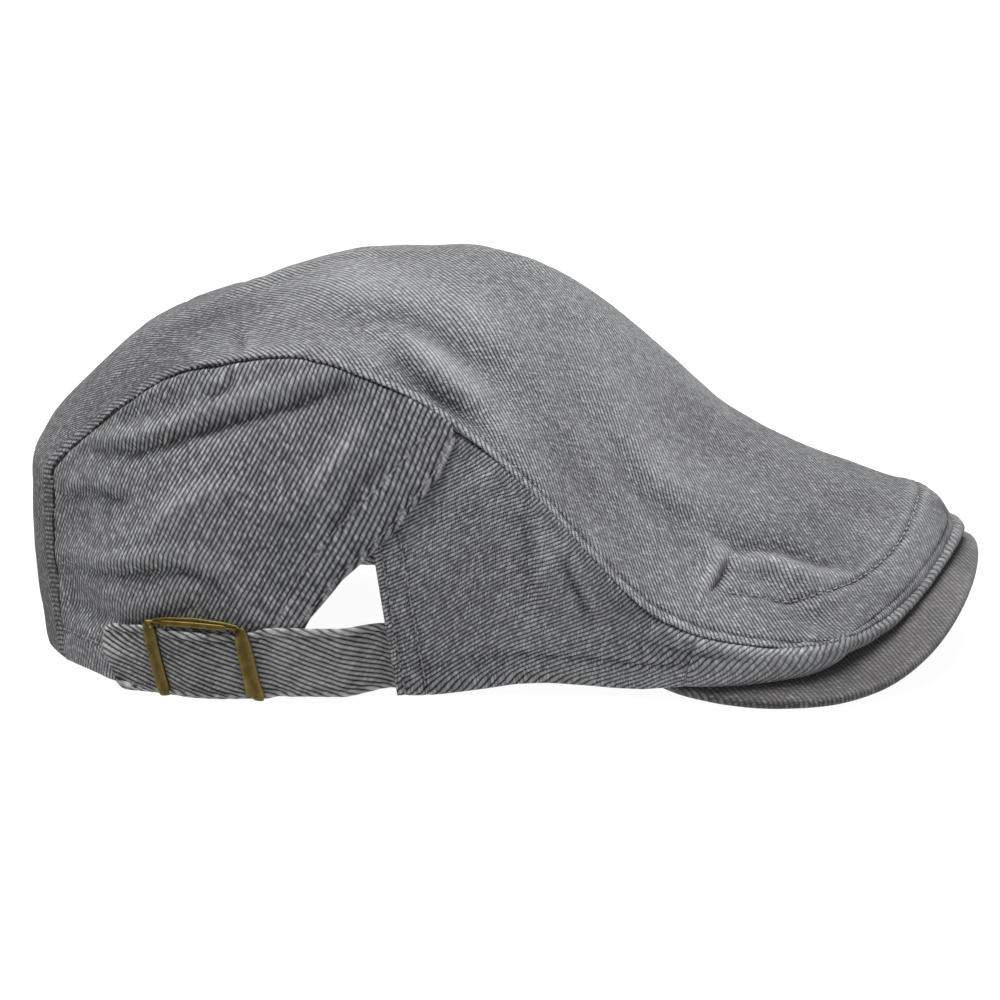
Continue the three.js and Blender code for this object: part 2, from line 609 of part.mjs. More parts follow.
const STRAP_WIDTHS = [
  { at: BUCKLE_DISTANCE - 1.5 * BUCKLE_HALF, value: STRAP_WIDTH },
  { at: BUCKLE_DISTANCE - BUCKLE_HALF, value: STRAP_WIDTH - STRAP_PINCH },
  { at: BUCKLE_DISTANCE + BUCKLE_HALF, value: STRAP_WIDTH - STRAP_PINCH },
  { at: BUCKLE_DISTANCE + 1.3 * BUCKLE_HALF, value: STRAP_WIDTH - STRAP_PINCH / 2 },
];
const STRAP_END_ROUND = 6; // length over which the free end is rounded
const STRAP_END_FOLD = 1.6; // the folded end is this many times as thick

function strap() {
  const length = STRAP_TUCK + STRAP_REACH;
  const bars = count(Math.round(length / STRAP_STEP)).map((i) => i * STRAP_STEP - STRAP_TUCK);
  const stations = [...bars.filter((s) => s < STRAP_REACH - STRAP_END_ROUND)];
  for (const share of [0, 0.35, 0.65, 0.88, 1]) stations.push(STRAP_REACH - STRAP_END_ROUND * (1 - share));
  const grid = (layer) => stations.map((along) => {
    const pastBuckle = BUCKLE_DISTANCE + BUCKLE_HALF;
    const end = smooth((along - pastBuckle) / (STRAP_REACH - pastBuckle));
    const thick = STRAP_THICKNESS * lerp(1, STRAP_END_FOLD, end);
    const round = Math.max(0, 1 - (STRAP_REACH - along) / STRAP_END_ROUND);
    const width = profile(STRAP_WIDTHS, along) * (1 - 0.45 * round ** 3);
    return count(STRAP_ACROSS + 1).map((i) => {
      const height = STRAP_MIDDLE + width * (i / STRAP_ACROSS - 0.5);
      return onWall(along, height, profile(STRAP_ROUTE, along) + layer * thick);
    });
  });
  return sheet(grid(1), grid(0));
}

// Slide buckle: a bent frame with a centre bar that lies deeper than its sides
function buckle() {
  const bend = [
    { at: -BUCKLE_HALF + BUCKLE_BAR, value: SIDE_BAR_OUT },
    { at: -CENTRE_BAR, value: CENTRE_BAR_OUT },
    { at: CENTRE_BAR, value: CENTRE_BAR_OUT },
    { at: BUCKLE_HALF - BUCKLE_BAR, value: SIDE_BAR_OUT },
  ];
  const inner = BUCKLE_HALF - BUCKLE_BAR;
  const half = CENTRE_BAR / 2;
  const gap = [0.25, 0.5, 0.75].map((share) => lerp(half, inner, share));
  const right = [half, ...gap, inner, BUCKLE_HALF];
  const alongs = [...right.map((s) => -s).reverse(), ...right];
  const window = BUCKLE_WINDOW / 2;
  const heights = [-window - BUCKLE_RAIL, -window, -window / 3, window / 3, window, window + BUCKLE_RAIL];
  const open = (r, c) => {
    const middle = Math.abs(alongs[r] + alongs[r + 1]) / 2;
    return middle > half && middle < inner && c > 0 && c < heights.length - 2;
  };
  const grid = (layer) => alongs.map((s) => heights.map((h) => (
    onWall(BUCKLE_DISTANCE + s, STRAP_MIDDLE + h, profile(bend, s) + layer * BUCKLE_PLATE)
  )));
  return sheet(grid(1), grid(0), (r, c) => !open(r, c));
}

// Keeper: a plain tab behind the strap, sewn to the rear panel, that the centre bar lies on
function keeper() {
  const width = BUCKLE_WINDOW - 2 * SEAM_GAP;
  const grid = (layer) => count(KEEPER_STEPS + 1).map((i) => count(STRAP_ACROSS + 1).map((j) => {
    const along = BUCKLE_DISTANCE + KEEPER_LENGTH * (i / KEEPER_STEPS - 0.5);
    const height = STRAP_MIDDLE + width * (j / STRAP_ACROSS - 0.5);
    return onWall(along, height, KEEPER_OUT + layer * KEEPER_THICKNESS);
  }));
  return sheet(grid(1), grid(0));
}

// Materials
const twill = new THREE.MeshStandardMaterial({ color: 0x737377, roughness: 0.9, metalness: 0 });
const twillDark = new THREE.MeshStandardMaterial({ color: 0x606062, roughness: 0.9, metalness: 0 });
const brass = new THREE.MeshStandardMaterial({ color: 0x6e5a2c, roughness: 0.42, metalness: 0.9 });

const cap = new THREE.Group();
function add(name, geometry, material) {
  const mesh = new THREE.Mesh(geometry, material);
  mesh.name = name;
  cap.add(mesh);
}
function addPair(name, geometry, material) {
  add(`${name}_right`, geometry, material);
  add(`${name}_left`, mirrored(geometry), material);
}

add('top_panel', topPanel(), twill);
addPair('rear_side_panel', rearSidePanel(), twill);
add('front_side_panel', frontSidePanel(), twill);
add('brim', brim(), twillDark);
addPair('strap', strap(), twill);
addPair('buckle', buckle(), brass);
addPair('strap_keeper', keeper(), twill);

// The origin goes under the middle of the outer box.
const box = new THREE.Box3().setFromObject(cap);
const middle = box.getCenter(new THREE.Vector3());
cap.position.set(-middle.x, -middle.y, -box.min.z);

export default cap;
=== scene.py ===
# The flat cap's looks: washed twill panels, a covered brim, buckled straps, their stitches and a pale floor.
import math

import bmesh
import bpy
import numpy as np
from mathutils import Matrix, Vector, noise


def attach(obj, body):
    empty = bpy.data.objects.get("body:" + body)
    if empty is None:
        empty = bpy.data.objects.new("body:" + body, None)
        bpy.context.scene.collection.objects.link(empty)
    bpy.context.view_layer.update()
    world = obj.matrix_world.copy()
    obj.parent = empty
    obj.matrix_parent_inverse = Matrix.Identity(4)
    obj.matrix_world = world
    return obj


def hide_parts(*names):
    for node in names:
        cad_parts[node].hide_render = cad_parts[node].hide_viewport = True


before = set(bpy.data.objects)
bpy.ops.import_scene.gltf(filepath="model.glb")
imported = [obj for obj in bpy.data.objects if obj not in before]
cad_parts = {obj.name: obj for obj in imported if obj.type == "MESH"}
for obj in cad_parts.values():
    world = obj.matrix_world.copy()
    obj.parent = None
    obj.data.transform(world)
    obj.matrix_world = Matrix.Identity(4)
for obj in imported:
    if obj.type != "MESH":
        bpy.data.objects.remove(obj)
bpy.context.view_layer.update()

# Driving sizes, in metres, as in the cap's source
MM = 0.001
HALF_LENGTH = 0.137
HALF_HEAD = 0.0775
CROWN_HEIGHT = 0.1137
BRIM_WIDTH = 0.186
BRIM_REVEAL = 0.010
CLOTH = 1.2 * MM
BRIM_THICKNESS = 3 * MM
SEAM_GAP = 0.4 * MM
LAY_GAP = 0.5 * MM
LAP = CLOTH + LAY_GAP
STRAP_WIDTH = 0.020
STRAP_THICKNESS = 1.6 * MM
STRAP_REACH = 0.087
STRAP_TUCK = 8 * MM
STRAP_END_STAND = 4 * MM
STRAP_LIFT = 1.7 * MM
STRAP_PINCH = 2.4 * MM
BUCKLE_DISTANCE = 0.054
BUCKLE_HALF = 0.03250 / 2
BUCKLE_BAR = 3.4 * MM
BUCKLE_PLATE = 1.2 * MM
CENTRE_BAR = 2 * MM
KEEPER_THICKNESS = 0.9 * MM
KEEPER_LENGTH = 0.018
CAP_MIDDLE = np.array([-0.0002246, 0, 0])  # the frame's origin, seen from the cap's own


def table(names, rows):
    return dict(zip(names, np.array(rows, float).T))


# The seam beside the top panel: shares of half the length, half the head width and the crown height
SECTIONS = table(("x", "y", "z", "ridge_x", "ridge_z", "bulge", "bell"), (
    (-0.948, 0.43, 0.495, -0.995, 0.482, 0.012, 0),
    (-0.883, 0.516, 0.583, -0.956, 0.562, 0.02, 0),
    (-0.803, 0.587, 0.673, -0.885, 0.656, 0.035, 0),
    (-0.693, 0.652, 0.765, -0.76, 0.785, 0.055, 0),
    (-0.569, 0.71, 0.806, -0.613, 0.873, 0.07, 0),
    (-0.453, 0.755, 0.826, -0.453, 0.943, 0.08, 0),
    (-0.365, 0.778, 0.812, -0.336, 0.986, 0.082, 0),
    (-0.292, 0.797, 0.784, -0.241, 0.998, 0.08, 0),
    (-0.175, 0.839, 0.724, -0.131, 1, 0.07, 0),
    (-0.051, 0.914, 0.62, -0.015, 0.99, 0.055, 0),
    (0.066, 0.974, 0.5, 0.088, 0.947, 0.042, 0.05),
    (0.182, 1.019, 0.352, 0.219, 0.842, 0.03, 0.1),
    (0.285, 1.058, 0.235, 0.343, 0.715, 0.022, 0.15),
    (0.387, 1.081, 0.178, 0.453, 0.592, 0.016, 0.2),
    (0.484, 1.092, 0.155, 0.577, 0.507, 0.012, 0.3),
    (0.567, 1.079, 0.145, 0.701, 0.444, 0.01, 0.4),
    (0.624, 1.056, 0.145, 0.81, 0.398, 0.009, 0.55),
    (0.664, 1.024, 0.148, 0.887, 0.372, 0.008, 0.7),
    (0.687, 1, 0.153, 0.931, 0.333, 0.008, 0.85),
    (0.694, 0.989, 0.155, 0.947, 0.297, 0.008, 1),
))
CORNER = 19
FRONT = 20

HEM = table(("x", "y", "lift"), (
    (-0.92, 0.439, 0), (-0.872, 0.575, 0), (-0.79, 0.8, 0), (-0.68, 0.925, 0), (-0.556, 0.978, 0),
    (-0.416, 0.998, 0), (-0.285, 0.999, 0), (-0.168, 0.997, 0), (-0.058, 0.988, 0.013),
    (0.058, 0.978, 0.031), (0.146, 0.972, 0.026), (0.219, 0.981, 0.02), (0.277, 1, 0.02),
))
BRIM_SECTION = 13

# Where the wall stands on the brim: degrees round the brim, and shares of the reveal
ON_BRIM = table(("turn", "reveal"), (
    (118, 0.19), (104, 0.55), (88, 0.88), (75, 1.1), (68, 1.3), (64.4, 1.5), (63.7, 1.53),
))
FRONT_REVEAL = 0.55
REVEAL_SWELL = 0.11
TURN_POWER = 1.3

TAIL_ROWS = 3
TAIL = table(("share", "ridge_x", "ridge_z"), (
    (0, -0.975, 0), (0.36, -0.996, 0.17), (0.72, -1, 0.335), (1, -0.995, 0.482), (1.3, -0.956, 0.562),
))
ARCH_POWER = 2.15
FRONT_POWER = 1.77

OPENING_SECTION = 6.5
LAP_SECTION = 8.5
LAP_FADE = 0.6
LAP_STEP = 1.2
FREE_EDGE = table(("section", "share"), (
    (4.4, 0), (4.8, 0.12), (5.2, 0.25), (5.8, 0.37), (6.4, 0.45), (7, 0.53), (7.6, 0.65), (8.1, 0.77),
    (8.5, 0.93),
))

BRIM_POWER = 2
BRIM_WIDEST = 0.555 * HALF_LENGTH
BRIM_FRONT_REACH = HALF_LENGTH - BRIM_WIDEST
BRIM_REAR_REACH = 0.88 * BRIM_FRONT_REACH
BRIM_CORNER_TURN = 136
BRIM_SIDE_HEIGHT = 0.88 * BRIM_THICKNESS
BRIM_FRONT_HEIGHT = 0.232 * CROWN_HEIGHT
BRIM_RISE_POWER = 3.23
BRIM_CROWNING = 0.024 * CROWN_HEIGHT
BAND_X = 0.467 * HALF_LENGTH
BAND_HEIGHT = 0.325 * CROWN_HEIGHT
BAND_CORNER_X = 0.263 * HALF_LENGTH
BAND_CORNER_Y = 0.83 * HALF_HEAD
NUDGE = 0.01

# Folds and creases: the middle's section and share, the half run and rise in the side view, the half
# width and the height, the last four as shares of the crown height
FOLDS = {
    "side": table(("section", "share", "run", "rise", "width", "depth"), (
        (1.9, 0.62, 0.12, 0.05, 0.06, -0.016),
        (4.2, 0.86, 0.2, 0.06, 0.06, -0.016),
        (0.9, 0.3, 0.12, -0.02, 0.05, -0.014),
        (3.1, 0.55, 0.18, 0.08, 0.09, 0.012),
        (2.6, 0.93, 0.16, 0.07, 0.03, -0.012),
        (5.4, 0.62, 0.2, 0.14, 0.05, 0.010),
        (1.6, 0.24, 0.13, 0.015, 0.03, -0.012),
        (9.6, 0.45, 0.05, 0.12, 0.05, 0.014),
        (11.2, 0.62, 0.1, -0.04, 0.05, -0.012),
        (12.6, 0.5, 0.12, -0.02, 0.05, 0.010),
        (8.0, 0.3, 0.05, 0.16, 0.05, -0.010),
    )),
    "top": table(("section", "share", "run", "rise", "width", "depth"), (
        (8.6, 0.76, 0.12, -0.13, 0.06, -0.022),
        (9.6, 0.45, 0.08, -0.24, 0.09, -0.014),
        (5.8, 0.6, 0.26, 0.03, 0.08, -0.014),
        (13.4, 0.62, 0.26, -0.12, 0.07, 0.014),
        (14.4, 0.8, 0.1, -0.08, 0.028, -0.016),
        (11.0, 0.72, 0.1, -0.2, 0.05, -0.010),
        (16.0, 0.5, 0.18, -0.06, 0.05, -0.008),
        (4.0, 0.8, 0.12, 0.06, 0.035, -0.010),
        (7.3, 0.85, 0.10, -0.06, 0.035, -0.010),
    )),
}
FOLD_SOFTNESS = 0.14


def through(values, place):
    """A smooth curve through equally spaced values, at places counted in rows."""
    ends = [2 * values[0] - values[1]], [2 * values[-1] - values[-2]]
    knots = np.concatenate([ends[0], values, ends[1]])
    place = np.asarray(place, float)
    i = np.clip(np.floor(place), 0, len(values) - 2).astype(int)
    t = place - i
    p0, p1, p2, p3 = (knots[i + k] for k in range(4))
    bend = 2 * p0 - 5 * p1 + 4 * p2 - p3
    twist = 3 * p1 - p0 - 3 * p2 + p3
    return 0.5 * (2 * p1 + (p2 - p0) * t + bend * t**2 + twist * t**3)


def smooth(t):
    t = np.clip(t, 0, 1)
    return t * t * (3 - 2 * t)


def lerp(a, b, t):
    return a + (b - a) * t


def at(x, y, z):
    return np.stack(np.broadcast_arrays(x, y, z), -1)


def size(v):
    return np.linalg.norm(v, axis=-1)


def unit(v):
    return v / np.maximum(size(v), 1e-12)[..., None]


def choose(mask, a, b):
    return np.where(np.asarray(mask)[..., None], a, b)


def signed_power(base, power):
    return np.sign(base) * np.abs(base) ** power


def profile(stations, place):
    """A line of smooth steps through (place, value) stations."""
    places, values = np.array(stations, float).T
    i = np.clip(np.searchsorted(places, place, side="right"), 1, len(places) - 1)
    share = (place - places[i - 1]) / (places[i] - places[i - 1])
    return lerp(values[i - 1], values[i], smooth(share))


# The brim's upper surface

def brim_edge(turn):
    a = np.radians(turn)
    along = signed_power(np.cos(a), 2 / BRIM_POWER)
    reach = np.where(along > 0, BRIM_FRONT_REACH, BRIM_REAR_REACH)
    side = signed_power(np.sin(a), 2 / BRIM_POWER)
    rise = np.maximum(0, np.cos(a)) ** BRIM_RISE_POWER
    height = lerp(BRIM_SIDE_HEIGHT, BRIM_FRONT_HEIGHT, rise)
    return at(BRIM_WIDEST + reach * along, -BRIM_WIDTH / 2 * side, height)


def brim_band(turn):
    v = turn / BRIM_CORNER_TURN
    x = lerp(BAND_X, BAND_CORNER_X, np.abs(v) ** 2.2)
    z = lerp(BAND_HEIGHT, BRIM_SIDE_HEIGHT, np.abs(v) ** 1.6)
    return at(x, -BAND_CORNER_Y * v, z)


def brim_top(turn, inward):
    turn, inward = np.broadcast_arrays(turn, inward)
    point = lerp(brim_edge(turn), brim_band(turn), inward[..., None])
    point[..., 2] += BRIM_CROWNING * 4 * inward * (1 - inward) * np.cos(np.radians(turn) / 1.6)
    return point


def on_brim(turn, reveal):
    span = size(brim_edge(turn) - brim_band(turn))
    return brim_top(turn, reveal / span) + at(0, 0, LAY_GAP)


# The side wall: its seam, its foot and the surface between them, up from 0 to 1

def seam_point(place):
    place = np.asarray(place, float)
    side = np.minimum(place, CORNER)
    x = HALF_LENGTH * through(SECTIONS["x"], side)
    y = -HALF_HEAD * through(SECTIONS["y"], side)
    point = at(x, y, CROWN_HEIGHT * through(SECTIONS["z"], side))
    round_front = np.maximum(place, CORNER)
    return choose(place <= CORNER, point, crown_form(np.full_like(place, CORNER), FRONT - round_front))


def hem_point(place, depth):
    def outline(p):
        return at(HALF_LENGTH * through(HEM["x"], p), -HALF_HEAD * through(HEM["y"], p), 0)
    along = unit(outline(place + NUDGE) - outline(place - NUDGE))
    inward = at(-along[..., 1], along[..., 0], 0)
    point = outline(place) + inward * np.asarray(depth)[..., None]
    point[..., 2] = CROWN_HEIGHT * np.maximum(0, through(HEM["lift"], place))
    return point


def brim_foot(place, depth):
    share = np.maximum(0, place - CORNER)
    row = np.minimum(place, CORNER) - BRIM_SECTION
    round_front = ON_BRIM["turn"][-1] * signed_power(1 - share, TURN_POWER)
    turn = np.where(share > 0, round_front, through(ON_BRIM["turn"], row))
    ahead = lerp(ON_BRIM["reveal"][-1], FRONT_REVEAL, share) + REVEAL_SWELL * np.sin(np.pi * share)
    reveal = np.where(share > 0, ahead, through(ON_BRIM["reveal"], row))
    return on_brim(turn, BRIM_REVEAL * reveal + depth)


def foot_point(place, depth=0.0):
    place, depth = np.broadcast_arrays(np.asarray(place, float), depth)
    last = BRIM_SECTION - 1
    hem = hem_point(np.minimum(place, last), depth)
    stand = brim_foot(np.maximum(place, BRIM_SECTION), depth)
    return lerp(hem, stand, np.clip(place - last, 0, 1)[..., None])


def wall_form(place, up):
    place, up = np.broadcast_arrays(np.asarray(place, float), up)
    foot, seam = foot_point(place), seam_point(place)
    along = foot_point(place + NUDGE) - foot_point(place - NUDGE)
    along[..., 2] = 0
    along = unit(along)
    swell = CROWN_HEIGHT * through(SECTIONS["bulge"], np.minimum(place, CORNER)) * 4 * up * (1 - up)
    outward = at(along[..., 1], -along[..., 0], 0)
    return lerp(foot, seam, up[..., None]) + outward * swell[..., None]


# The top panel's right half: across from 0 on the ridge to 1 at the seam, places below 0 on the tail

def crown_form(place, across):
    side = np.clip(place, 0, CORNER)
    x = HALF_LENGTH * through(SECTIONS["x"], side)
    y = -HALF_HEAD * through(SECTIONS["y"], side)
    z = CROWN_HEIGHT * through(SECTIONS["z"], side)
    arch = np.abs(across) ** ARCH_POWER
    bell = through(SECTIONS["bell"], side)
    back = np.abs(across) ** lerp(ARCH_POWER, FRONT_POWER, bell)
    flare = 1 - np.cos(np.pi / 2 * across) ** 2
    fall = lerp(arch, flare, bell)
    ridge_x = HALF_LENGTH * through(SECTIONS["ridge_x"], place)
    ridge_z = CROWN_HEIGHT * through(SECTIONS["ridge_z"], place)
    return at(lerp(ridge_x, x, back), y * across, lerp(ridge_z, z, fall))


def top_form(place, across):
    place, across = np.broadcast_arrays(np.asarray(place, float), across)
    row = np.minimum(place, 0) + TAIL_ROWS
    edge = wall_form(np.zeros_like(place), through(TAIL["share"], row))
    arch = np.abs(across) ** ARCH_POWER
    x = lerp(HALF_LENGTH * through(TAIL["ridge_x"], row), edge[..., 0], arch)
    z = lerp(CROWN_HEIGHT * through(TAIL["ridge_z"], row), edge[..., 2], arch)
    tail = at(x, edge[..., 1] * across, z)
    return choose(place < 0, tail, crown_form(np.maximum(place, 0), across))


def normal_of(form, a, b):
    da = form(a + NUDGE, b) - form(a - NUDGE, b)
    db = form(a, b + NUDGE) - form(a, b - NUDGE)
    return unit(np.cross(da, db))


def fold_height(panel, form, point):
    """What the folds of one panel add at each point, measured in the side view."""
    total = np.zeros(point.shape[:-1])
    folds = FOLDS[panel]
    for i in range(len(folds["section"])):
        middle = form(folds["section"][i], folds["share"][i])
        run = np.array([folds["run"][i], folds["rise"][i]]) * CROWN_HEIGHT
        away_x, away_z = point[..., 0] - middle[0], point[..., 2] - middle[2]
        along = (away_x * run[0] + away_z * run[1]) / (run @ run)
        off = (away_x * run[1] - away_z * run[0]) / np.hypot(*run) / (folds["width"][i] * CROWN_HEIGHT)
        total += folds["depth"][i] * CROWN_HEIGHT * np.exp(-(along**4) - off**2)
    return total


# Sharper creases and ridges: a line in the camera's view, in thousandths of the view's width to the right
# and down, then the half width and the height in millimetres, and the share of a ridge beside a hollow
VIEW_WIDTH = 0.29
VIEW_DISTANCE = 2.0
VIEW_TILT = math.radians(13)
VIEW_TARGET = np.array([-0.00178, 0, 0.039])
CREASES = {
    "side": (
        (((352, 386), (300, 402), (221, 424), (142, 450), (87, 453)), 2.6, -1.15, 0.7),
        (((236, 374), (225, 388), (208, 396)), 1.5, -0.7, 0.6),
        (((67, 565), (100, 575), (140, 573), (180, 570), (213, 583), (227, 590)), 2.2, -0.8, 0.8),
        (((81, 486), (103, 497), (125, 500)), 1.8, -0.7, 0.5),
        (((52, 493), (70, 494), (87, 496)), 1.6, -0.6, 0.5),
        (((311, 493), (340, 455), (365, 420)), 2.6, 0.8, 0.0),
        (((330, 540), (352, 500), (385, 462)), 2.2, -0.6, 0.3),
        (((150, 530), (190, 500), (240, 486)), 3.2, 0.8, 0.0),
        (((105, 640), (150, 622), (210, 600)), 2.4, -0.5, 0.5),
        (((490, 470), (460, 500), (430, 530)), 2.6, 0.9, 0.0),
        (((468, 458), (440, 492), (412, 515)), 1.8, -0.6, 0.3),
        (((560, 560), (575, 590), (590, 620)), 1.8, -0.8, 0.6),
        (((520, 520), (530, 560), (528, 600)), 2.4, -0.6, 0.5),
        (((640, 640), (700, 655), (760, 664)), 1.6, -0.5, 0.6),
    ),
    "top": (
        (((390, 348), (430, 385), (476, 421)), 3.4, -1.5, 0.7),
        (((237, 322), (238, 336), (240, 352)), 1.8, -0.6, 0.5),
        (((175, 342), (185, 359), (192, 366)), 1.6, -0.5, 0.5),
        (((693, 538), (727, 559), (767, 563), (813, 577), (842, 576)), 2.2, 0.9, 0.0),
        (((706, 528), (735, 548), (775, 551), (820, 566), (850, 562)), 2.2, -0.6, 0.0),
        (((727, 560), (721, 575), (710, 592)), 1.3, -1.1, 0.7),
        (((600, 420), (640, 485), (665, 508), (690, 525)), 4.0, -0.8, 0.5),
        (((930, 502), (945, 508), (955, 520)), 1.8, -0.6, 0.4),
        (((300, 300), (420, 322), (520, 380)), 4.5, -0.7, 0.6),
        (((398, 378), (450, 402), (505, 455)), 5.0, -0.75, 0.2),
        (((545, 420), (585, 480), (640, 560)), 5.0, -0.55, 0.3),
        (((150, 350), (200, 318), (270, 292)), 4.0, -0.45, 0.4),
        (((60, 440), (95, 395), (140, 355)), 4.0, -0.45, 0.3),
    ),
}
CREASE_DEPTH = 1.7
RIDGE_WEAR_HOLLOW_SHADE = 450  # how much paler a ridge is worn, and how much darker a hollow is painted as shade, for each metre of its height
FRONT_LINE = ((720, 592), (760, 596), (800, 598), (850, 583), (890, 552), (910, 520), (919, 491))


def seen(points):
    """Where points appear in the view, in thousandths of its width."""
    away = points - VIEW_TARGET
    ahead = away[..., 1] * math.cos(VIEW_TILT) - away[..., 2] * math.sin(VIEW_TILT)
    high = away[..., 1] * math.sin(VIEW_TILT) + away[..., 2] * math.cos(VIEW_TILT)
    scale = 1000 / VIEW_WIDTH / (1 + ahead / VIEW_DISTANCE)
    return np.stack([500 + away[..., 0] * scale, 500 - high * scale], -1)


def from_line(spots, line):
    """How far places in the view are above a line, in metres at the cap, and how far along it they are."""
    knots = np.array(line, float)
    samples = through_points(knots, 60)
    gap = spots[..., None, :] - samples
    nearest = np.argmin((gap**2).sum(-1), -1)
    off = np.take_along_axis(gap, nearest[..., None, None], -2)[..., 0, :]
    ahead = np.gradient(samples, axis=0)[nearest]
    turn = ahead[..., 0] * off[..., 1] - ahead[..., 1] * off[..., 0]
    side = -np.sign(turn) * np.sign(knots[-1, 0] - knots[0, 0] + 1e-9)
    return side * size(off) * VIEW_WIDTH / 1000, nearest / (len(samples) - 1)


def through_points(knots, count):
    places = np.linspace(0, len(knots) - 1, count)
    return np.stack([through(knots[:, 0], places), through(knots[:, 1], places)], -1)


def crease_height(panel, points):
    spots = seen(points)
    total = np.zeros(points.shape[:-1])
    for line, width, height, ridge in CREASES[panel]:
        away, along = from_line(spots, line)
        off = away / (width * MM)
        ends = np.sin(np.pi * np.clip(0.04 + 0.92 * along, 0, 1)) ** 0.6
        hollow = np.exp(-(off**2)) - ridge * np.exp(-(((off - 1.9) / 1.2) ** 2))
        total += CREASE_DEPTH * height * MM * ends * hollow
    return total


# Small irregularities of washed cloth

def grain(points, wave, seed, octaves=1):
    """Smooth noise from about -1 to 1 over places in the cap, with waves of one length."""
    shift = Vector((seed * 7.31, seed * 3.17, seed * 5.73))
    flat = points.reshape(-1, 3) / wave
    if octaves == 1:
        values = [noise.noise(Vector(p) + shift) for p in flat]
    else:
        values = [noise.fractal(Vector(p) + shift, 0.9, 2.1, octaves) for p in flat]
    return np.array(values).reshape(points.shape[:-1])


def rumple(points, seed):
    return 0.55 * MM * grain(points, 26 * MM, seed, 2) + 0.16 * MM * grain(points, 8 * MM, seed + 1, 2)


PUCKER_WAVE = 5.5 * MM
PUCKER_HEIGHT = 0.5 * MM
ROPE_WAVE = 1.7 * MM


def puckers(edge_points, away, reach=6 * MM):
    """Short gathers that run in from a sewn edge and die away."""
    gather = grain(edge_points, PUCKER_WAVE, 11) + 0.5 * grain(edge_points, PUCKER_WAVE / 2, 12)
    return PUCKER_HEIGHT * gather * np.exp(-((away / reach) ** 1.3))


def lengths(grid, axis):
    """Distances along one axis of a grid of points, from its first row."""
    steps = size(np.diff(grid, axis=axis))
    start = np.zeros_like(np.take(steps, [0], axis=axis))
    return np.concatenate([start, np.cumsum(steps, axis=axis)], axis=axis)


EDGE_STEPS = MM * np.array([0, 0.1, 0.3, 0.6, 0.95, 1.35, 1.8, 2.3, 2.9, 3.7, 4.8, 6.2])


def even_places(curve, first, last, step):
    """Places evenly spaced along a curve, closer towards both of its ends."""
    fine = np.linspace(first, last, 3000)
    along = lengths(curve(fine), 0)
    end = along[-1]
    inner = EDGE_STEPS[-1]
    steps = max(2, round((end - 2 * inner) / step))
    middle = np.linspace(inner, end - inner, steps + 1)
    wanted = np.concatenate([EDGE_STEPS[:-1], middle, end - EDGE_STEPS[:-1][::-1]])
    return np.interp(wanted, along, fine)


def edge_shares(height, steps, low=0.0, top=1.0):
    """Shares of a strip's height from low to top, with the finest steps at both ends."""
    span = (top - low) * height
    fine = EDGE_STEPS[EDGE_STEPS < 7 * MM]
    scale = np.minimum(1, 0.3 * span / fine[-1])
    below = scale[:, None] * fine / height[:, None]
    first = below[:, -1:]
    middle = np.linspace(0, 1, steps + 1)[1:-1]
    low, top = np.broadcast_arrays(low, top)
    low, top = np.broadcast_to(low, height.shape)[:, None], np.broadcast_to(top, height.shape)[:, None]
    between = lerp(low + first, top - first, middle)
    return np.concatenate([low + below, between, top - below[:, ::-1]], 1)


def rounded(away, half):
    """Half the thickness at a distance from a rounded edge."""
    return half * np.sqrt(np.maximum(0, 1 - (1 - np.clip(away / half, 0, 1)) ** 2))


def groove(away, line, width=0.8 * MM):
    return np.exp(-(((away - line) / width) ** 2))


def soft_min(a, b, reach=1.2 * MM):
    h = np.clip(0.5 + 0.5 * (b - a) / reach, 0, 1)
    return lerp(b, a, h) - reach * h * (1 - h) * 0.5


# Closed shells from a grid of middle points

def thread_map(grid, angle, row, column):
    """Places on the flat cloth: x runs along its wales and y across them."""
    s = lengths(grid, 0)
    t = lengths(grid, 1)
    s = s - s[row][None, :]
    t = t - t[:, column][:, None]
    return turned(s, t, angle)


def turned(s, t, angle):
    a = math.radians(angle)
    return np.stack([s * math.cos(a) + t * math.sin(a), t * math.cos(a) - s * math.sin(a)], -1)


def grid_normals(grid):
    da, db = np.gradient(grid, axis=0), np.gradient(grid, axis=1)
    return unit(np.cross(da, db))


def finished(bm, name, material, node):
    """Makes a mesh object that rides on the cap and stands for one of its solids."""
    bmesh.ops.remove_doubles(bm, verts=bm.verts, dist=2e-6)
    bmesh.ops.recalc_face_normals(bm, faces=bm.faces)
    mesh = bpy.data.meshes.new(name)
    bm.to_mesh(mesh)
    bm.free()
    mesh.polygons.foreach_set("use_smooth", [True] * len(mesh.polygons))
    mesh.materials.append(material)
    piece = bpy.data.objects.new(name, mesh)
    bpy.context.scene.collection.objects.link(piece)
    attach(piece, "root")
    if node:
        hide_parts(node)
    return piece


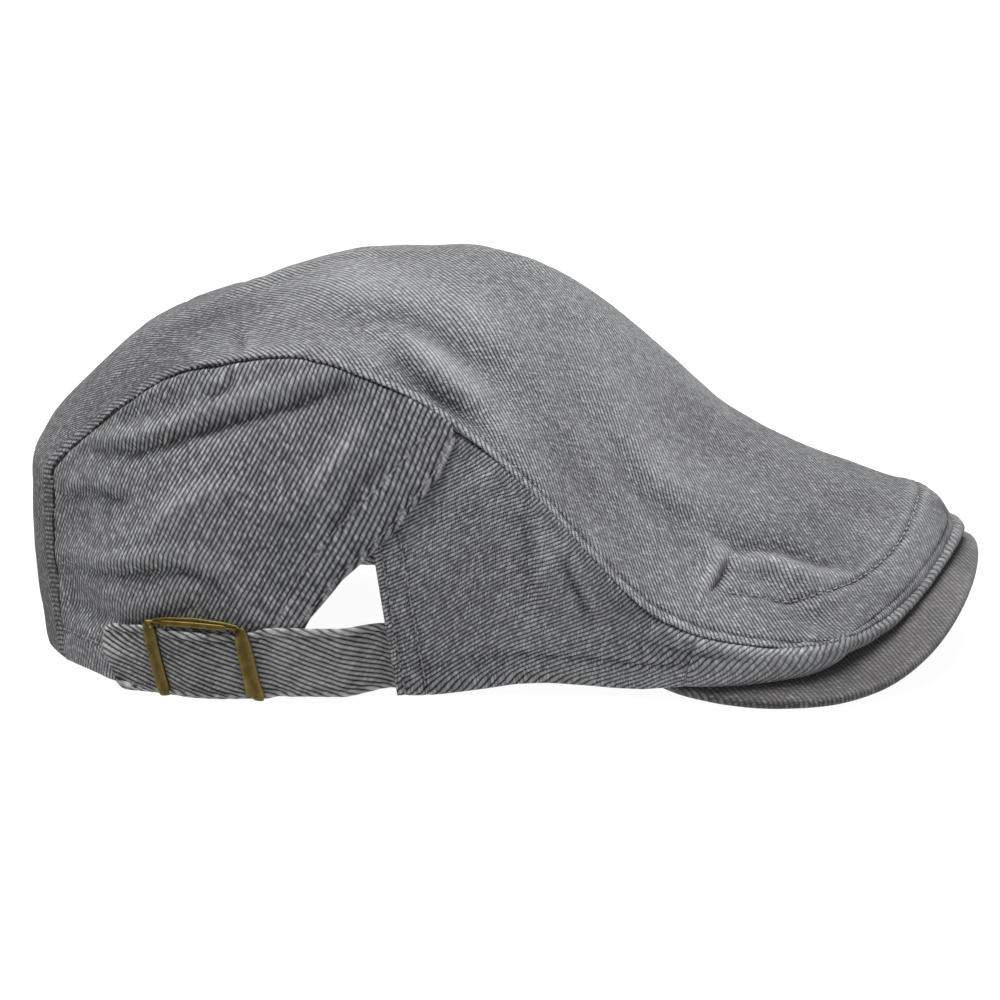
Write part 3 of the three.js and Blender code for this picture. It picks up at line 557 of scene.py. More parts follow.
def shell(name, layers, cloth_map, wear_and_shade, material, node):
    """A closed body from grids of points that share their borders, or that close on themselves."""
    rows, columns = layers[0].shape[:2]
    bm = bmesh.new()
    for i in range(len(layers)):
        place = Matrix.Translation((0, 0, i))
        bmesh.ops.create_grid(bm, x_segments=rows - 1, y_segments=columns - 1, size=0.5, matrix=place)
    draft = bpy.data.meshes.new(name + "_draft")
    bm.to_mesh(draft)
    flat = np.empty(3 * len(draft.vertices))
    draft.vertices.foreach_get("co", flat)
    spot = flat.reshape(-1, 3) + (0.5, 0.5, 0)
    row = np.rint(spot[:, 0] * (rows - 1)).astype(int)
    column = np.rint(spot[:, 1] * (columns - 1)).astype(int)
    points = np.array(layers)[np.rint(spot[:, 2]).astype(int), row, column] - CAP_MIDDLE
    draft.vertices.foreach_set("co", points.ravel())
    corners = np.empty(len(draft.loops), int)
    draft.loops.foreach_get("vertex_index", corners)
    threads = draft.uv_layers.new(name="threads")
    threads.data.foreach_set("uv", cloth_map[row, column][corners].ravel())
    wear_and_shade_layer = draft.attributes.new("wear_and_shade", "FLOAT", "POINT")
    wear_and_shade_layer.data.foreach_set("value", wear_and_shade[row, column])
    bm.clear()
    bm.from_mesh(draft)
    bpy.data.meshes.remove(draft)
    return finished(bm, name, material, node)


def cloth_shell(name, middle, half, cloth_map, wear_and_shade, material, node):
    """Cloth with its two faces on either side of a middle surface."""
    offset = grid_normals(middle) * half[..., None]
    return shell(name, [middle + offset, middle - offset], cloth_map, wear_and_shade, material, node)


# Materials

class Value:
    """A socket of a material, with arithmetic that adds its Math nodes."""

    def __init__(self, paint, socket):
        self.paint, self.socket = paint, socket

    def math(self, operation, *others):
        values = {i + 1: other for i, other in enumerate(others)}
        return self.paint.node("ShaderNodeMath", {"operation": operation}, {0: self, **values})

    def __add__(self, other):
        return self.math("ADD", other)

    def __sub__(self, other):
        return self.math("SUBTRACT", other)

    def __mul__(self, other):
        return self.math("MULTIPLY", other)

    def __truediv__(self, other):
        return self.math("DIVIDE", other)

    def __pow__(self, other):
        return self.math("POWER", other)

    def __rsub__(self, other):
        return self.paint.node("ShaderNodeMath", {"operation": "SUBTRACT"}, {0: other, 1: self})

    __radd__, __rmul__ = __add__, __mul__


class Paint:
    """One material: a Principled shader and the nodes that feed it."""

    def __init__(self, name, constants):
        self.material = bpy.data.materials.new(name)
        self.material.use_nodes = True
        self.tree = self.material.node_tree
        self.shader = self.tree.nodes["Principled BSDF"]
        for socket, value in constants.items():
            self.shader.inputs[socket].default_value = value

    def node(self, kind, settings=None, values=None, output=0):
        made = self.tree.nodes.new(kind)
        for key, value in (settings or {}).items():
            if key == "stops":
                for stop, (place, colour) in zip(made.color_ramp.elements, value):
                    stop.position, stop.color = place, (*colour, 1)
            else:
                setattr(made, key, value)
        for key, value in (values or {}).items():
            if isinstance(value, Value):
                self.tree.links.new(value.socket, made.inputs[key])
            else:
                made.inputs[key].default_value = value
        return Value(self, made.outputs[output])

    def feed(self, socket, value):
        self.tree.links.new(value.socket, self.shader.inputs[socket])

    def noise(self, place, scale, detail=2.0, roughness=0.5):
        values = {"Vector": place, "Scale": scale, "Detail": detail, "Roughness": roughness}
        return self.node("ShaderNodeTexNoise", {}, values)

    def bump(self, height, distance):
        values = {"Height": height, "Distance": distance, "Strength": 1.0}
        return self.node("ShaderNodeBump", {}, values)


WALE_PITCH = 1.35 * MM
FLOAT_PITCH = 0.5 * MM
FLOAT_SLANT = math.radians(63)
SMOOTH_FROM, SMOOTH_TO = 0.03, 0.1  # how far forward the cloth begins and ends to be drawn smooth
SMOOTHEST = 0.55  # how much of the weave still shows where the cloth is drawn over the brim


def twill(name, dark, pale, depth=0.42 * MM, patches=0.3, floats=0.45, mixed=1.0):
    """Coarse washed twill: raised wales of slanting threads, with pale slubs and soft fading."""
    paint = Paint(name, {"Roughness": 0.9, "Specular IOR Level": 0.25, "Sheen Weight": 0.12})
    place = paint.node("ShaderNodeUVMap", {"uv_map": "threads"})
    along = paint.node("ShaderNodeSeparateXYZ", {}, {0: place})
    across = Value(paint, along.socket.node.outputs[1])
    drift = paint.noise(place, 90.0, 2.0) - 0.5
    shake = paint.noise(place, 900.0, 2.0) - 0.5
    wale = (across + drift * (0.8 * MM) + shake * (0.22 * MM)) / WALE_PITCH
    row = wale.math("FLOOR")
    within = wale.math("FRACT")
    ridge = (within * math.pi).math("SINE") ** 0.8
    lean = WALE_PITCH / math.tan(FLOAT_SLANT) / FLOAT_PITCH
    thread = along / FLOAT_PITCH - within * lean + row * 0.37 + drift * 1.5
    beads = (thread * (2 * math.pi)).math("COSINE") * 0.5 + 0.5
    cell = paint.node("ShaderNodeCombineXYZ", {}, {0: thread.math("FLOOR"), 1: row})
    chance = paint.node("ShaderNodeTexWhiteNoise", {"noise_dimensions": "2D"}, {"Vector": cell})
    cell_long = paint.node("ShaderNodeCombineXYZ", {}, {0: (thread / 3.0).math("FLOOR"), 1: row + 40.0})
    slub = paint.node("ShaderNodeTexWhiteNoise", {"noise_dimensions": "2D"}, {"Vector": cell_long})
    height = ridge * (beads * floats + (1.0 - floats)) * (chance * (0.3 * mixed) + 0.83)
    cloudy = paint.noise(place, 420.0, 3.0, 0.65) - 0.5
    on_cap = paint.node("ShaderNodeTexCoord", {}, {}, 3)
    faded = paint.noise(on_cap, 38.0, 3.0, 0.6) - 0.5
    forward = paint.node("ShaderNodeSeparateXYZ", {}, {0: on_cap})
    limits = {0: forward, 1: SMOOTH_FROM, 2: SMOOTH_TO, 3: 1.0, 4: SMOOTHEST}
    drawn = paint.node("ShaderNodeMapRange", {}, limits)
    height = height * drawn
    # Wear and painted shade from the mesh: positive values are real wear that makes the cloth paler, negative
    # values are painted shade in grooves, hollows and recesses.
    wear_and_shade = paint.node("ShaderNodeAttribute", {"attribute_name": "wear_and_shade"}, {}, 2)
    threads = height * (chance * (0.32 * mixed) + slub * 0.14 + 0.84)
    threads = threads + chance ** 10 * ridge * (0.4 * mixed) * drawn
    level = (1.0 - drawn) * 0.37
    tone = threads + level + cloudy * patches * drawn + faded * 0.25 + wear_and_shade * 0.3 - 0.2
    ramp = {"stops": [(0.0, dark), (1.0, pale)]}
    paint.feed("Base Color", paint.node("ShaderNodeValToRGB", ramp, {0: tone}))
    fuzz = paint.noise(place, 4200.0, 2.0)
    paint.feed("Normal", paint.bump(height + fuzz * 0.25 + cloudy * 0.3, depth))
    return paint.material


def antique_brass(name):
    paint = Paint(name, {"Metallic": 1.0})
    place = paint.node("ShaderNodeTexCoord", {}, {}, 3)
    tarnish = paint.noise(place, 260.0, 5.0, 0.65)
    pits = paint.noise(place, 1600.0, 3.0, 0.6)
    # On the brass this attribute holds only the rubbed corners, which are real wear.
    rub = paint.node("ShaderNodeAttribute", {"attribute_name": "wear_and_shade"}, {}, 2)
    tone = tarnish * 1.4 - 0.45 + rub * 0.4
    ramp = {"stops": [(0.0, (0.085, 0.062, 0.018)), (1.0, (0.24, 0.185, 0.07))]}
    paint.feed("Base Color", paint.node("ShaderNodeValToRGB", ramp, {0: tone}))
    paint.feed("Roughness", 0.5 - tone * 0.16 + pits * 0.08)
    paint.feed("Normal", paint.bump(pits + tarnish * 0.5, 0.05 * MM))
    return paint.material


def thread_paint(name, colour):
    paint = Paint(name, {"Roughness": 0.8, "Sheen Weight": 0.1})
    place = paint.node("ShaderNodeTexCoord", {}, {}, 3)
    fibres = paint.noise(place, 2500.0, 2.0)
    dim = tuple(0.55 * c for c in colour)
    ramp = {"stops": [(0.25, dim), (0.75, colour)]}
    paint.feed("Base Color", paint.node("ShaderNodeValToRGB", ramp, {0: fibres}))
    paint.feed("Normal", paint.bump(fibres, 0.06 * MM))
    return paint.material


TWILL = twill("washed_twill", (0.012, 0.012, 0.013), (0.475, 0.48, 0.497))
STRAP_TWILL = twill("strap_twill", (0.012, 0.012, 0.013), (0.49, 0.492, 0.5), 0.42 * MM, 0.3, 0.2, 0.35)
# The brim's twill is the cap's twill made darker as painted shade for the brim, which lies under the crown.
SHADED_BRIM_TWILL = twill("brim_twill_shaded", (0.04, 0.038, 0.039), (0.23, 0.223, 0.228), 0.15 * MM, 0.25)
BRASS = antique_brass("antique_brass")
THREAD = thread_paint("sewing_thread", (0.32, 0.32, 0.33))

# How the wales lie on each piece, in degrees from the direction of its rows
TOP_WALES = -57
REAR_WALES = 59
FRONT_WALES = 31
BRIM_WALES = -66
STRAP_WALES = -21
KEEPER_WALES = -23
TOP_FINENESS = 1.14  # how much finer than WALE_PITCH the wales look on the top panel
FRONT_FINENESS = 1.12

# The top panel

TOP_STEPS = 62
TOP_SPACING = 1.15 * MM
BLEND_PLACE = 16.5  # from here on, normals near the front corner are blended with those behind them
LINE_PLACE = 11  # the front stitch line lies ahead of this place
RIM_HALF = 0.42 * MM
RIM_LIFT = 0.2 * MM
RIM_OVERHANG = 0.4 * MM
RIM_STITCH = 2.5 * MM
THREAD_STAND = 0.14 * MM


def top_panel():
    places = even_places(lambda a: top_form(a, np.zeros_like(a)), -TAIL_ROWS, CORNER, TOP_SPACING)
    speed = size(top_form(places, np.ones_like(places)) - top_form(places, 1 - NUDGE)) / NUDGE
    fine = 1 - EDGE_STEPS / speed[:, None]
    middle = np.linspace(1, 0, TOP_STEPS)[1:]
    half = np.concatenate([fine, fine[:, -1:] * middle], 1)
    across = np.concatenate([half, -half[:, -2::-1]], 1)
    place = np.broadcast_to(places[:, None], across.shape)
    side = np.abs(across)
    to_left = across < 0
    base = top_form(place, side)
    normal = -normal_of(top_form, place, side)
    corner = smooth((place - BLEND_PLACE) / 1.5) * smooth((side - 0.72) / 0.2)
    beside = -normal_of(top_form, BLEND_PLACE + 0 * place, side) - normal_of(top_form, place, 0.78 * side)
    normal = unit(lerp(normal, unit(beside), corner[..., None]))
    fade = smooth((1 - side) / FOLD_SOFTNESS) * smooth(side / FOLD_SOFTNESS)
    crease_fade = smooth((1 - side) / 0.05)
    creases = crease_fade * crease_height("top", base)
    height = fade * fold_height("top", top_form, base) + creases
    line_away, line_share = from_line(seen(base), FRONT_LINE)
    shown = smooth(line_share / 0.05) * (place > LINE_PLACE)
    front_line = groove(np.abs(line_away), 0, 0.8 * MM) * shown
    beside_line = groove(np.abs(line_away), 2 * MM, 1.1 * MM) * shown
    outward = unit(top_form(place, side + NUDGE) - top_form(place, side - NUDGE))
    ahead = unit(top_form(place + NUDGE, side) - top_form(place - NUDGE, side))
    for part in (base, normal, outward, ahead):
        part[..., 1] *= np.where(to_left, -1, 1)
    round_side = lengths(base, 1)
    from_side = np.minimum(round_side, round_side[:, -1:] - round_side)
    down = lengths(base, 0)
    from_front = down[-1:] - down
    seam = np.where(to_left[..., None], base[:, -1:], base[:, :1])
    front = np.broadcast_to(base[-1:], base.shape)
    away = soft_min(from_side, from_front)
    gathers = puckers(seam, from_side) + puckers(front, from_front, 4 * MM) * smooth(from_side / (9 * MM))
    rope = grain(seam, ROPE_WAVE, 21) * np.exp(-from_side / (2 * MM))
    rope = rope + 0.6 * grain(front, ROPE_WAVE, 22) * np.exp(-from_front / (2 * MM))
    sewn = smooth((place - 5.5) / 2.5)
    rope = rope * sewn
    rim = 1 - smooth((away - 1.2 * MM) / (1.2 * MM))
    pulled = groove(away, RIM_STITCH, 0.6 * MM) * sewn + front_line
    small = rumple(base, 3)
    height = height + small + gathers - 0.45 * MM * pulled + 0.25 * MM * beside_line
    lift = height + RIM_LIFT * rim - CLOTH / 2 + 0.3 * MM * rope * rim
    wave = RIM_OVERHANG * (1 + 2.4 * grain(seam, 13 * MM, 23) * (1 - 0.8 * sewn))
    over = (wave * (1 - smooth(from_side / (2.5 * MM))))[..., None] * outward
    over = over + RIM_OVERHANG * (1 - smooth(from_front / (2.5 * MM)))[..., None] * ahead
    middle_points = base + normal * lift[..., None] + over
    thick = lerp(CLOTH / 2, RIM_HALF * (1 + 0.16 * rope), rim)
    edge = np.minimum(np.maximum(away, 0), down)
    half_thick = rounded(edge, thick)
    facing_out = np.sign((grid_normals(middle_points) * normal).sum(-1))[..., None]
    # Here the sewn rim is paler with wear and the rope's raised twists are paler, with painted shade between
    # them; painted shade darkens the stitch grooves and the hollows of puckers, rumples and creases; a
    # painted shadow line runs along the rear seam's edge under the rim; paler on the tuck beside the front
    # stitch line; darker towards the tail and towards the front.
    wear_and_shade = 0.3 * rim * sewn + 0.7 * rope * rim - 1.5 * pulled + 0.7 * gathers / PUCKER_HEIGHT
    wear_and_shade = wear_and_shade - 1.6 * groove(away, 0, 0.9 * MM) * (1 - sewn) + 0.5 * beside_line
    wear_and_shade = wear_and_shade * 0.5 + 0.25 * small / (0.5 * MM) + RIDGE_WEAR_HOLLOW_SHADE * creases
    wear_and_shade = wear_and_shade + lerp(-0.9, 0.2, smooth(place / 7)) - 0.35 * smooth((place - 11) / 4)
    row = int(np.argmin(np.abs(places - 10)))
    threads = TOP_FINENESS * thread_map(base, TOP_WALES, row, base.shape[1] // 2)
    piece = cloth_shell("top_panel_cloth", middle_points, half_thick, threads, wear_and_shade, TWILL,
                        "top_panel")
    declare_sheet(base)
    outer = middle_points + grid_normals(middle_points) * (half_thick + THREAD_STAND)[..., None] * facing_out
    ahead_right = (place > LINE_PLACE) & ~to_left & (across > 0.02)
    spots, outer = seen(base)[ahead_right], outer[ahead_right]
    line = []
    for spot in through_points(np.array(FRONT_LINE, float), 70):
        gap = ((spots - spot) ** 2).sum(-1)
        near = np.argsort(gap)[:6]
        share = 1 / (gap[near] + 0.5)
        line.append((outer[near] * share[:, None]).sum(0) / share.sum())
    line = np.array(line)
    line = np.stack([np.convolve(line[:, k], np.ones(5) / 5, "valid") for k in range(3)], -1)
    return [line, line * (1, -1, 1)]


# The side panels

def free_edge(place):
    return np.interp(place, FREE_EDGE["section"], FREE_EDGE["share"])


def wall_surface(place, up, depth):
    """The side wall with its main folds, depth inside its outer face."""
    base = wall_form(place, up)
    normal = normal_of(wall_form, place, up)
    fade = smooth((1 - up) / FOLD_SOFTNESS) * smooth(up / FOLD_SOFTNESS) * smooth(place / 0.8)
    lift = fade * fold_height("side", wall_form, base) - depth
    return base, normal, base + normal * lift[..., None]


def wall_creases(place, up, base):
    return smooth((1 - up) / 0.05) * smooth(up / 0.05) * smooth(place / 0.5) * crease_height("side", base)


RULER_UP = 0.6  # how far up the wall the rear panel's rows are measured
SEAM_RECESS = 1.5 * MM
RECESS_REACH = 2.2 * MM
LINE_DEPTH = 0.42 * MM
HEM_HALF = 0.95 * MM
HEM_DEPTH = 9.5 * MM
FACING = 11.6 * MM
EDGE_STITCH = 1.9 * MM
FRONT_FACING = 8.4 * MM
FRONT_EDGE_STITCH = 2.4 * MM
REAR_SPACING, REAR_STEPS = 1.2 * MM, 52
FRONT_SPACING, FRONT_STEPS = 1.25 * MM, 34
BRIM_SPACING, BRIM_STEPS = 1.4 * MM, 22


def rear_panel(side, seed):
    places = even_places(lambda a: wall_form(a, np.full_like(a, RULER_UP)), 0, LAP_SECTION,
                         REAR_SPACING)
    low = free_edge(places)
    height = size(wall_form(places, 1.0) - wall_form(places, 0.0))
    up = edge_shares(height, REAR_STEPS, low, 1.0)
    place = np.broadcast_to(places[:, None], up.shape)
    base, normal, form = wall_surface(place, up, 0)
    creases = wall_creases(place, up, base)
    rise = lengths(base, 1)
    from_low, from_seam = rise, rise[:, -1:] - rise
    run = lengths(base, 0)
    from_tail, from_end = run, run[-1:] - run
    flip = np.array([1, side, 1])
    small = rumple(form * flip, seed)
    seam = np.broadcast_to(base[:, -1:], base.shape)
    tail = np.broadcast_to(base[:1], base.shape)
    gathers = puckers(seam * flip, from_seam, 8 * MM) + puckers(tail * flip, from_tail)
    # The free edge is slanted, so its distance is measured square to it.
    slope = np.gradient(low * height) / np.maximum(np.gradient(run[:, 0]), 1e-6)
    square = np.cos(np.arctan(slope))[:, None]
    from_low = from_low * square
    on_table = 1 - smooth((place - FREE_EDGE["section"][0]) / 0.5)
    facing = lerp(FACING, HEM_DEPTH, on_table)
    turned_in = 1 - smooth((from_low - facing) / (0.8 * MM))
    line = groove(from_low, facing) + groove(from_low, EDGE_STITCH) * (1 - on_table)
    sewn = puckers(base[:, :1] * flip + 0 * base, np.abs(from_low - facing), 3 * MM) * 0.5
    recess = 1 - smooth(from_seam / RECESS_REACH)
    lift = small + gathers + sewn + creases - CLOTH / 2 - SEAM_RECESS * recess
    lift = lift + 0.15 * MM * turned_in - LINE_DEPTH * line
    thick = lerp(CLOTH / 2, HEM_HALF, turned_in)
    edge = np.minimum(np.minimum(from_low, from_seam), np.minimum(from_tail, from_end))
    half_thick = rounded(edge, thick)
    middle = form + normal * lift[..., None]
    middle[..., 2] = np.maximum(middle[..., 2], half_thick * np.abs(normal[..., 2]) + 0.02 * MM)
    # Here painted shade darkens the stitch grooves and the hollows of puckers, rumples and creases, and a
    # painted shadow lies in the seam recess under the top panel's rim; raised spots and the free edge are
    # paler with wear; the panel is a little darker all over.
    wear_and_shade = -1.5 * line + 0.4 * gathers / PUCKER_HEIGHT + 0.3 * small / (0.5 * MM)
    wear_and_shade = 0.5 * wear_and_shade - 1.1 * recess + 0.35 * (1 - smooth(from_low / (1.5 * MM))) + RIDGE_WEAR_HOLLOW_SHADE * creases - 0.28
    name = "right" if side > 0 else "left"
    ruler = lengths(wall_form(places, RULER_UP), 0)
    threads = turned(ruler[:, None] + 0 * up, (up - RULER_UP) * height[:, None], REAR_WALES)
    piece = cloth_shell(f"rear_panel_cloth_{name}", middle * flip, half_thick, threads, wear_and_shade, TWILL,
                        f"rear_side_panel_{name}")
    declare_sheet(base)
    lines = []
    outer = middle * flip + (grid_normals(middle * flip) * side) * (half_thick + THREAD_STAND)[..., None]
    for distance, free_edge_only in ((facing, False), (EDGE_STITCH + 0 * facing, True)):
        points = []
        for r in range(3, len(places) - 2):
            if free_edge_only and places[r] < FREE_EDGE["section"][0] + 0.3:
                continue
            if distance[r, 0] > from_low[r, -1] - 3 * MM:
                continue
            points.append([np.interp(distance[r, 0], from_low[r], outer[r, :, k]) for k in range(3)])
        lines.append(np.array(points))
    return lines


def front_panel():
    half_places = even_places(lambda a: wall_form(a, np.full_like(a, 0.5)), OPENING_SECTION, FRONT,
                              FRONT_SPACING)
    spare = len(EDGE_STEPS) - 1
    half_places = np.concatenate([half_places[:-spare - 1], np.linspace(half_places[-spare - 1], FRONT, 6)])
    under = 1 - smooth((half_places - LAP_SECTION) / LAP_FADE)
    height = size(wall_form(half_places, 1.0) - wall_form(half_places, 0.0))
    highest = 1 - under * LAP_STEP * LAP / height
    up = edge_shares(height, FRONT_STEPS, 0.0, highest)
    place = np.broadcast_to(half_places[:, None], up.shape)
    depth = (LAP * under)[:, None] + 0 * up
    base, normal, form = wall_surface(place, up, depth)
    creases = wall_creases(place, up, base) * (1 - under[:, None])
    foot = foot_point(place, depth)
    form = lerp(foot, form, smooth(up / 0.05)[..., None])

    def both(grid, flip=False):
        back = grid[:-1][::-1].copy()
        if flip:
            back[..., 1] *= -1
        return np.concatenate([grid, back])
    base, normal, form = both(base, True), both(normal, True), both(form, True)
    place, up, hidden, creases = both(place), both(up), both(depth / LAP), both(creases)
    rise = lengths(form, 1)
    from_foot, from_seam = rise, rise[:, -1:] - rise
    run = lengths(form, 0)
    from_end = np.minimum(run, run[-1:] - run)
    small = rumple(form, 31) * smooth(from_foot / (6 * MM))
    seam = np.broadcast_to(base[:, -1:], base.shape)
    foot_line = np.broadcast_to(base[:, :1], base.shape)
    band = smooth((place - BRIM_SECTION + 1) / 2)
    gathers = puckers(seam, from_seam, 7 * MM) * lerp(1, 0.6, band)
    recess = (1 - smooth(from_seam / RECESS_REACH)) * (1 - hidden)
    tuck = 1 - smooth(from_foot / (3.5 * MM))
    swell = 1.3 * MM * band * 4 * up * (1 - up)
    rear_lines = groove(from_end, FRONT_EDGE_STITCH) + groove(from_end, FRONT_FACING)
    hem_line = groove(from_foot, HEM_DEPTH) * (1 - band)
    sewn = puckers(foot_line, np.abs(from_foot - HEM_DEPTH), 3 * MM) * 0.5 * (1 - band)
    lift = small + gathers + sewn + creases + swell - CLOTH / 2 - SEAM_RECESS * recess
    lift = lift - 0.5 * MM * tuck * band
    lift = lift - LINE_DEPTH * (rear_lines + hem_line)
    turned_in = 1 - smooth((from_end - FRONT_FACING) / MM)
    turned_in = np.maximum(turned_in, 1 - smooth((from_foot - HEM_DEPTH) / MM))
    thick = lerp(CLOTH / 2, 0.85 * MM, turned_in * (1 - hidden * 0.3))
    edge = np.minimum(np.minimum(from_foot, from_seam), from_end)
    half_thick = rounded(edge, thick)
    middle = form + normal * lift[..., None]
    middle[..., 2] = np.maximum(middle[..., 2], half_thick * np.abs(normal[..., 2]) + 0.02 * MM)
    # Here painted shade darkens the stitch grooves, the hollows of puckers, rumples and creases, the seam
    # recess under the rim, and the foot where the band tucks onto the brim; raised spots are paler with wear;
    # the band on the brim is paler all over.
    wear_and_shade = -1.5 * (rear_lines + hem_line) + 0.4 * gathers / PUCKER_HEIGHT + 0.3 * small / (0.5 * MM)
    wear_and_shade = 0.5 * wear_and_shade - 0.8 * recess - 0.3 * tuck * band + 0.3 * band + RIDGE_WEAR_HOLLOW_SHADE * creases
    threads = FRONT_FINENESS * thread_map(base, FRONT_WALES, 70, 14)
    piece = cloth_shell("front_panel_cloth", middle, half_thick, threads, wear_and_shade, TWILL,
                        "front_side_panel")
    declare_sheet(base)
    outer = middle + grid_normals(middle) * (half_thick + THREAD_STAND)[..., None]
    lines = []
    for distance in (FRONT_EDGE_STITCH, FRONT_FACING):
        for ends in (run, run[-1:] - run):
            order = slice(None) if ends is run else slice(None, None, -1)
            lines.append(np.array([
                [np.interp(distance, ends[order, c][:60], outer[order, c, k][:60]) for k in range(3)]
                for c in range(4, outer.shape[1] - 8)
            ]))
    return lines


def declare_sheet(grid):
    """Works out a panel's own area; nothing is stated or declared with it.

    What is stated for it is raised to LEAST_SHARE, a tenth too large, and isn't a measurement. The
    front side panel's own area is only 0.274 of its length times its width; a figure raised to
    LEAST_SHARE, a tenth larger, would not be a measurement.
    """
    area = 0.5 * size(np.cross(grid[1:, 1:] - grid[:-1, :-1], grid[:-1, 1:] - grid[1:, :-1])).sum()


# The brim and its cover

def brim_cover():
    turns = even_places(brim_edge, -BRIM_CORNER_TURN, BRIM_CORNER_TURN, BRIM_SPACING)
    span = size(brim_edge(turns) - brim_band(turns))
    inward = edge_shares(span, BRIM_STEPS)
    turn = np.broadcast_to(turns[:, None], inward.shape)
    base = brim_top(turn, inward)
    normal = normal_of(brim_top, turn, inward)
    normal = normal * np.sign(normal[..., 2:])
    from_edge = lengths(base, 1)
    run = lengths(base, 0)
    from_end = np.minimum(run, run[-1:] - run)
    small = grain(base, 16 * MM, 41, 2)
    rim = groove(from_edge, 1.2 * MM, 1.3 * MM)
    middle = base + normal * (0.16 * MM * small - BRIM_THICKNESS / 2)[..., None]
    edge = np.minimum(np.minimum(from_edge, from_edge[:, -1:] - from_edge), from_end)
    half = rounded(edge, BRIM_THICKNESS / 2 + 0 * edge)
    # Random paler and darker spots and a paler worn rim near the edge; towards its sides the cover is
    # darkened as painted shade, where it lies under the crown.
    wear_and_shade = 0.35 * small + 0.3 * rim - 0.9 * smooth((np.abs(turn) - 35) / 55)
    threads = turned(base[..., 0], base[..., 1] + base[..., 2], BRIM_WALES)
    cloth_shell("brim_cover_cloth", middle, half, threads, wear_and_shade, SHADED_BRIM_TWILL, "brim")


# The straps: along runs back from the front panel's rear edge, height up from the hem, out from the wall

RULER_PLACES = OPENING_SECTION + 1 - 0.1 * np.arange(70)


def along_wall(place, height, out):
    foot = foot_point(place)[..., 2]
    up = (height - foot) / (seam_point(place)[..., 2] - foot)
    return wall_surface(place, up, -out)[2]


RULER = lengths(along_wall(RULER_PLACES, STRAP_WIDTH / 2 + 0 * RULER_PLACES, STRAP_THICKNESS), 0)
RULER_START = np.interp(-OPENING_SECTION, -RULER_PLACES, RULER)


def on_wall(along, height, out):
    along, height, out = np.broadcast_arrays(along, height, out)
    place = np.interp(along + RULER_START, RULER, RULER_PLACES)
    return along_wall(place, height, out)


CENTRE_BAR_OUT = LAY_GAP + KEEPER_THICKNESS + SEAM_GAP
STRAP_OVER_BAR = CENTRE_BAR_OUT + BUCKLE_PLATE + SEAM_GAP
STRAP_UNDER_SIDE = CENTRE_BAR_OUT
SIDE_BAR_OUT = STRAP_UNDER_SIDE + STRAP_THICKNESS + SEAM_GAP
STRAP_INSIDE = -(LAP + CLOTH + 2 * LAY_GAP + STRAP_THICKNESS)
BUCKLE_WINDOW = STRAP_WIDTH - STRAP_PINCH + 2 * SEAM_GAP
STRAP_MIDDLE = STRAP_LIFT + STRAP_WIDTH / 2
STRAP_ROUTE = (
    (1 * MM, STRAP_INSIDE),
    (0.4 * (BUCKLE_DISTANCE - BUCKLE_HALF), LAY_GAP),
    (BUCKLE_DISTANCE - 1.3 * BUCKLE_HALF, LAY_GAP),
    (BUCKLE_DISTANCE - BUCKLE_HALF, STRAP_UNDER_SIDE),
    (BUCKLE_DISTANCE - BUCKLE_HALF + BUCKLE_BAR, STRAP_UNDER_SIDE),
    (BUCKLE_DISTANCE - CENTRE_BAR, STRAP_OVER_BAR),
    (BUCKLE_DISTANCE + CENTRE_BAR, STRAP_OVER_BAR),
    (BUCKLE_DISTANCE + BUCKLE_HALF - BUCKLE_BAR, STRAP_UNDER_SIDE),
    (BUCKLE_DISTANCE + BUCKLE_HALF, STRAP_UNDER_SIDE),
    (STRAP_REACH, STRAP_END_STAND),
)
STRAP_WIDTHS = (
    (BUCKLE_DISTANCE - 1.5 * BUCKLE_HALF, STRAP_WIDTH),
    (BUCKLE_DISTANCE - BUCKLE_HALF, 18.8 * MM),
    (BUCKLE_DISTANCE + BUCKLE_HALF, 18.6 * MM),
    (BUCKLE_DISTANCE + 1.3 * BUCKLE_HALF, 18.2 * MM),
)
STRAP_HEIGHTS = (
    (BUCKLE_DISTANCE - 1.4 * BUCKLE_HALF, 10.9 * MM),
    (BUCKLE_DISTANCE - 0.8 * BUCKLE_HALF, 9.6 * MM),
    (BUCKLE_DISTANCE + 0.8 * BUCKLE_HALF, 9.6 * MM),
    (BUCKLE_DISTANCE + 1.4 * BUCKLE_HALF, 8.8 * MM),
)
STRAP_END = STRAP_REACH - 4.5 * MM
STRAP_END_ROUND = 5 * MM
STRAP_LEAN = 0.22
STRAP_END_LEAN = 0.3
ABOVE_TABLE = 0.05 * MM


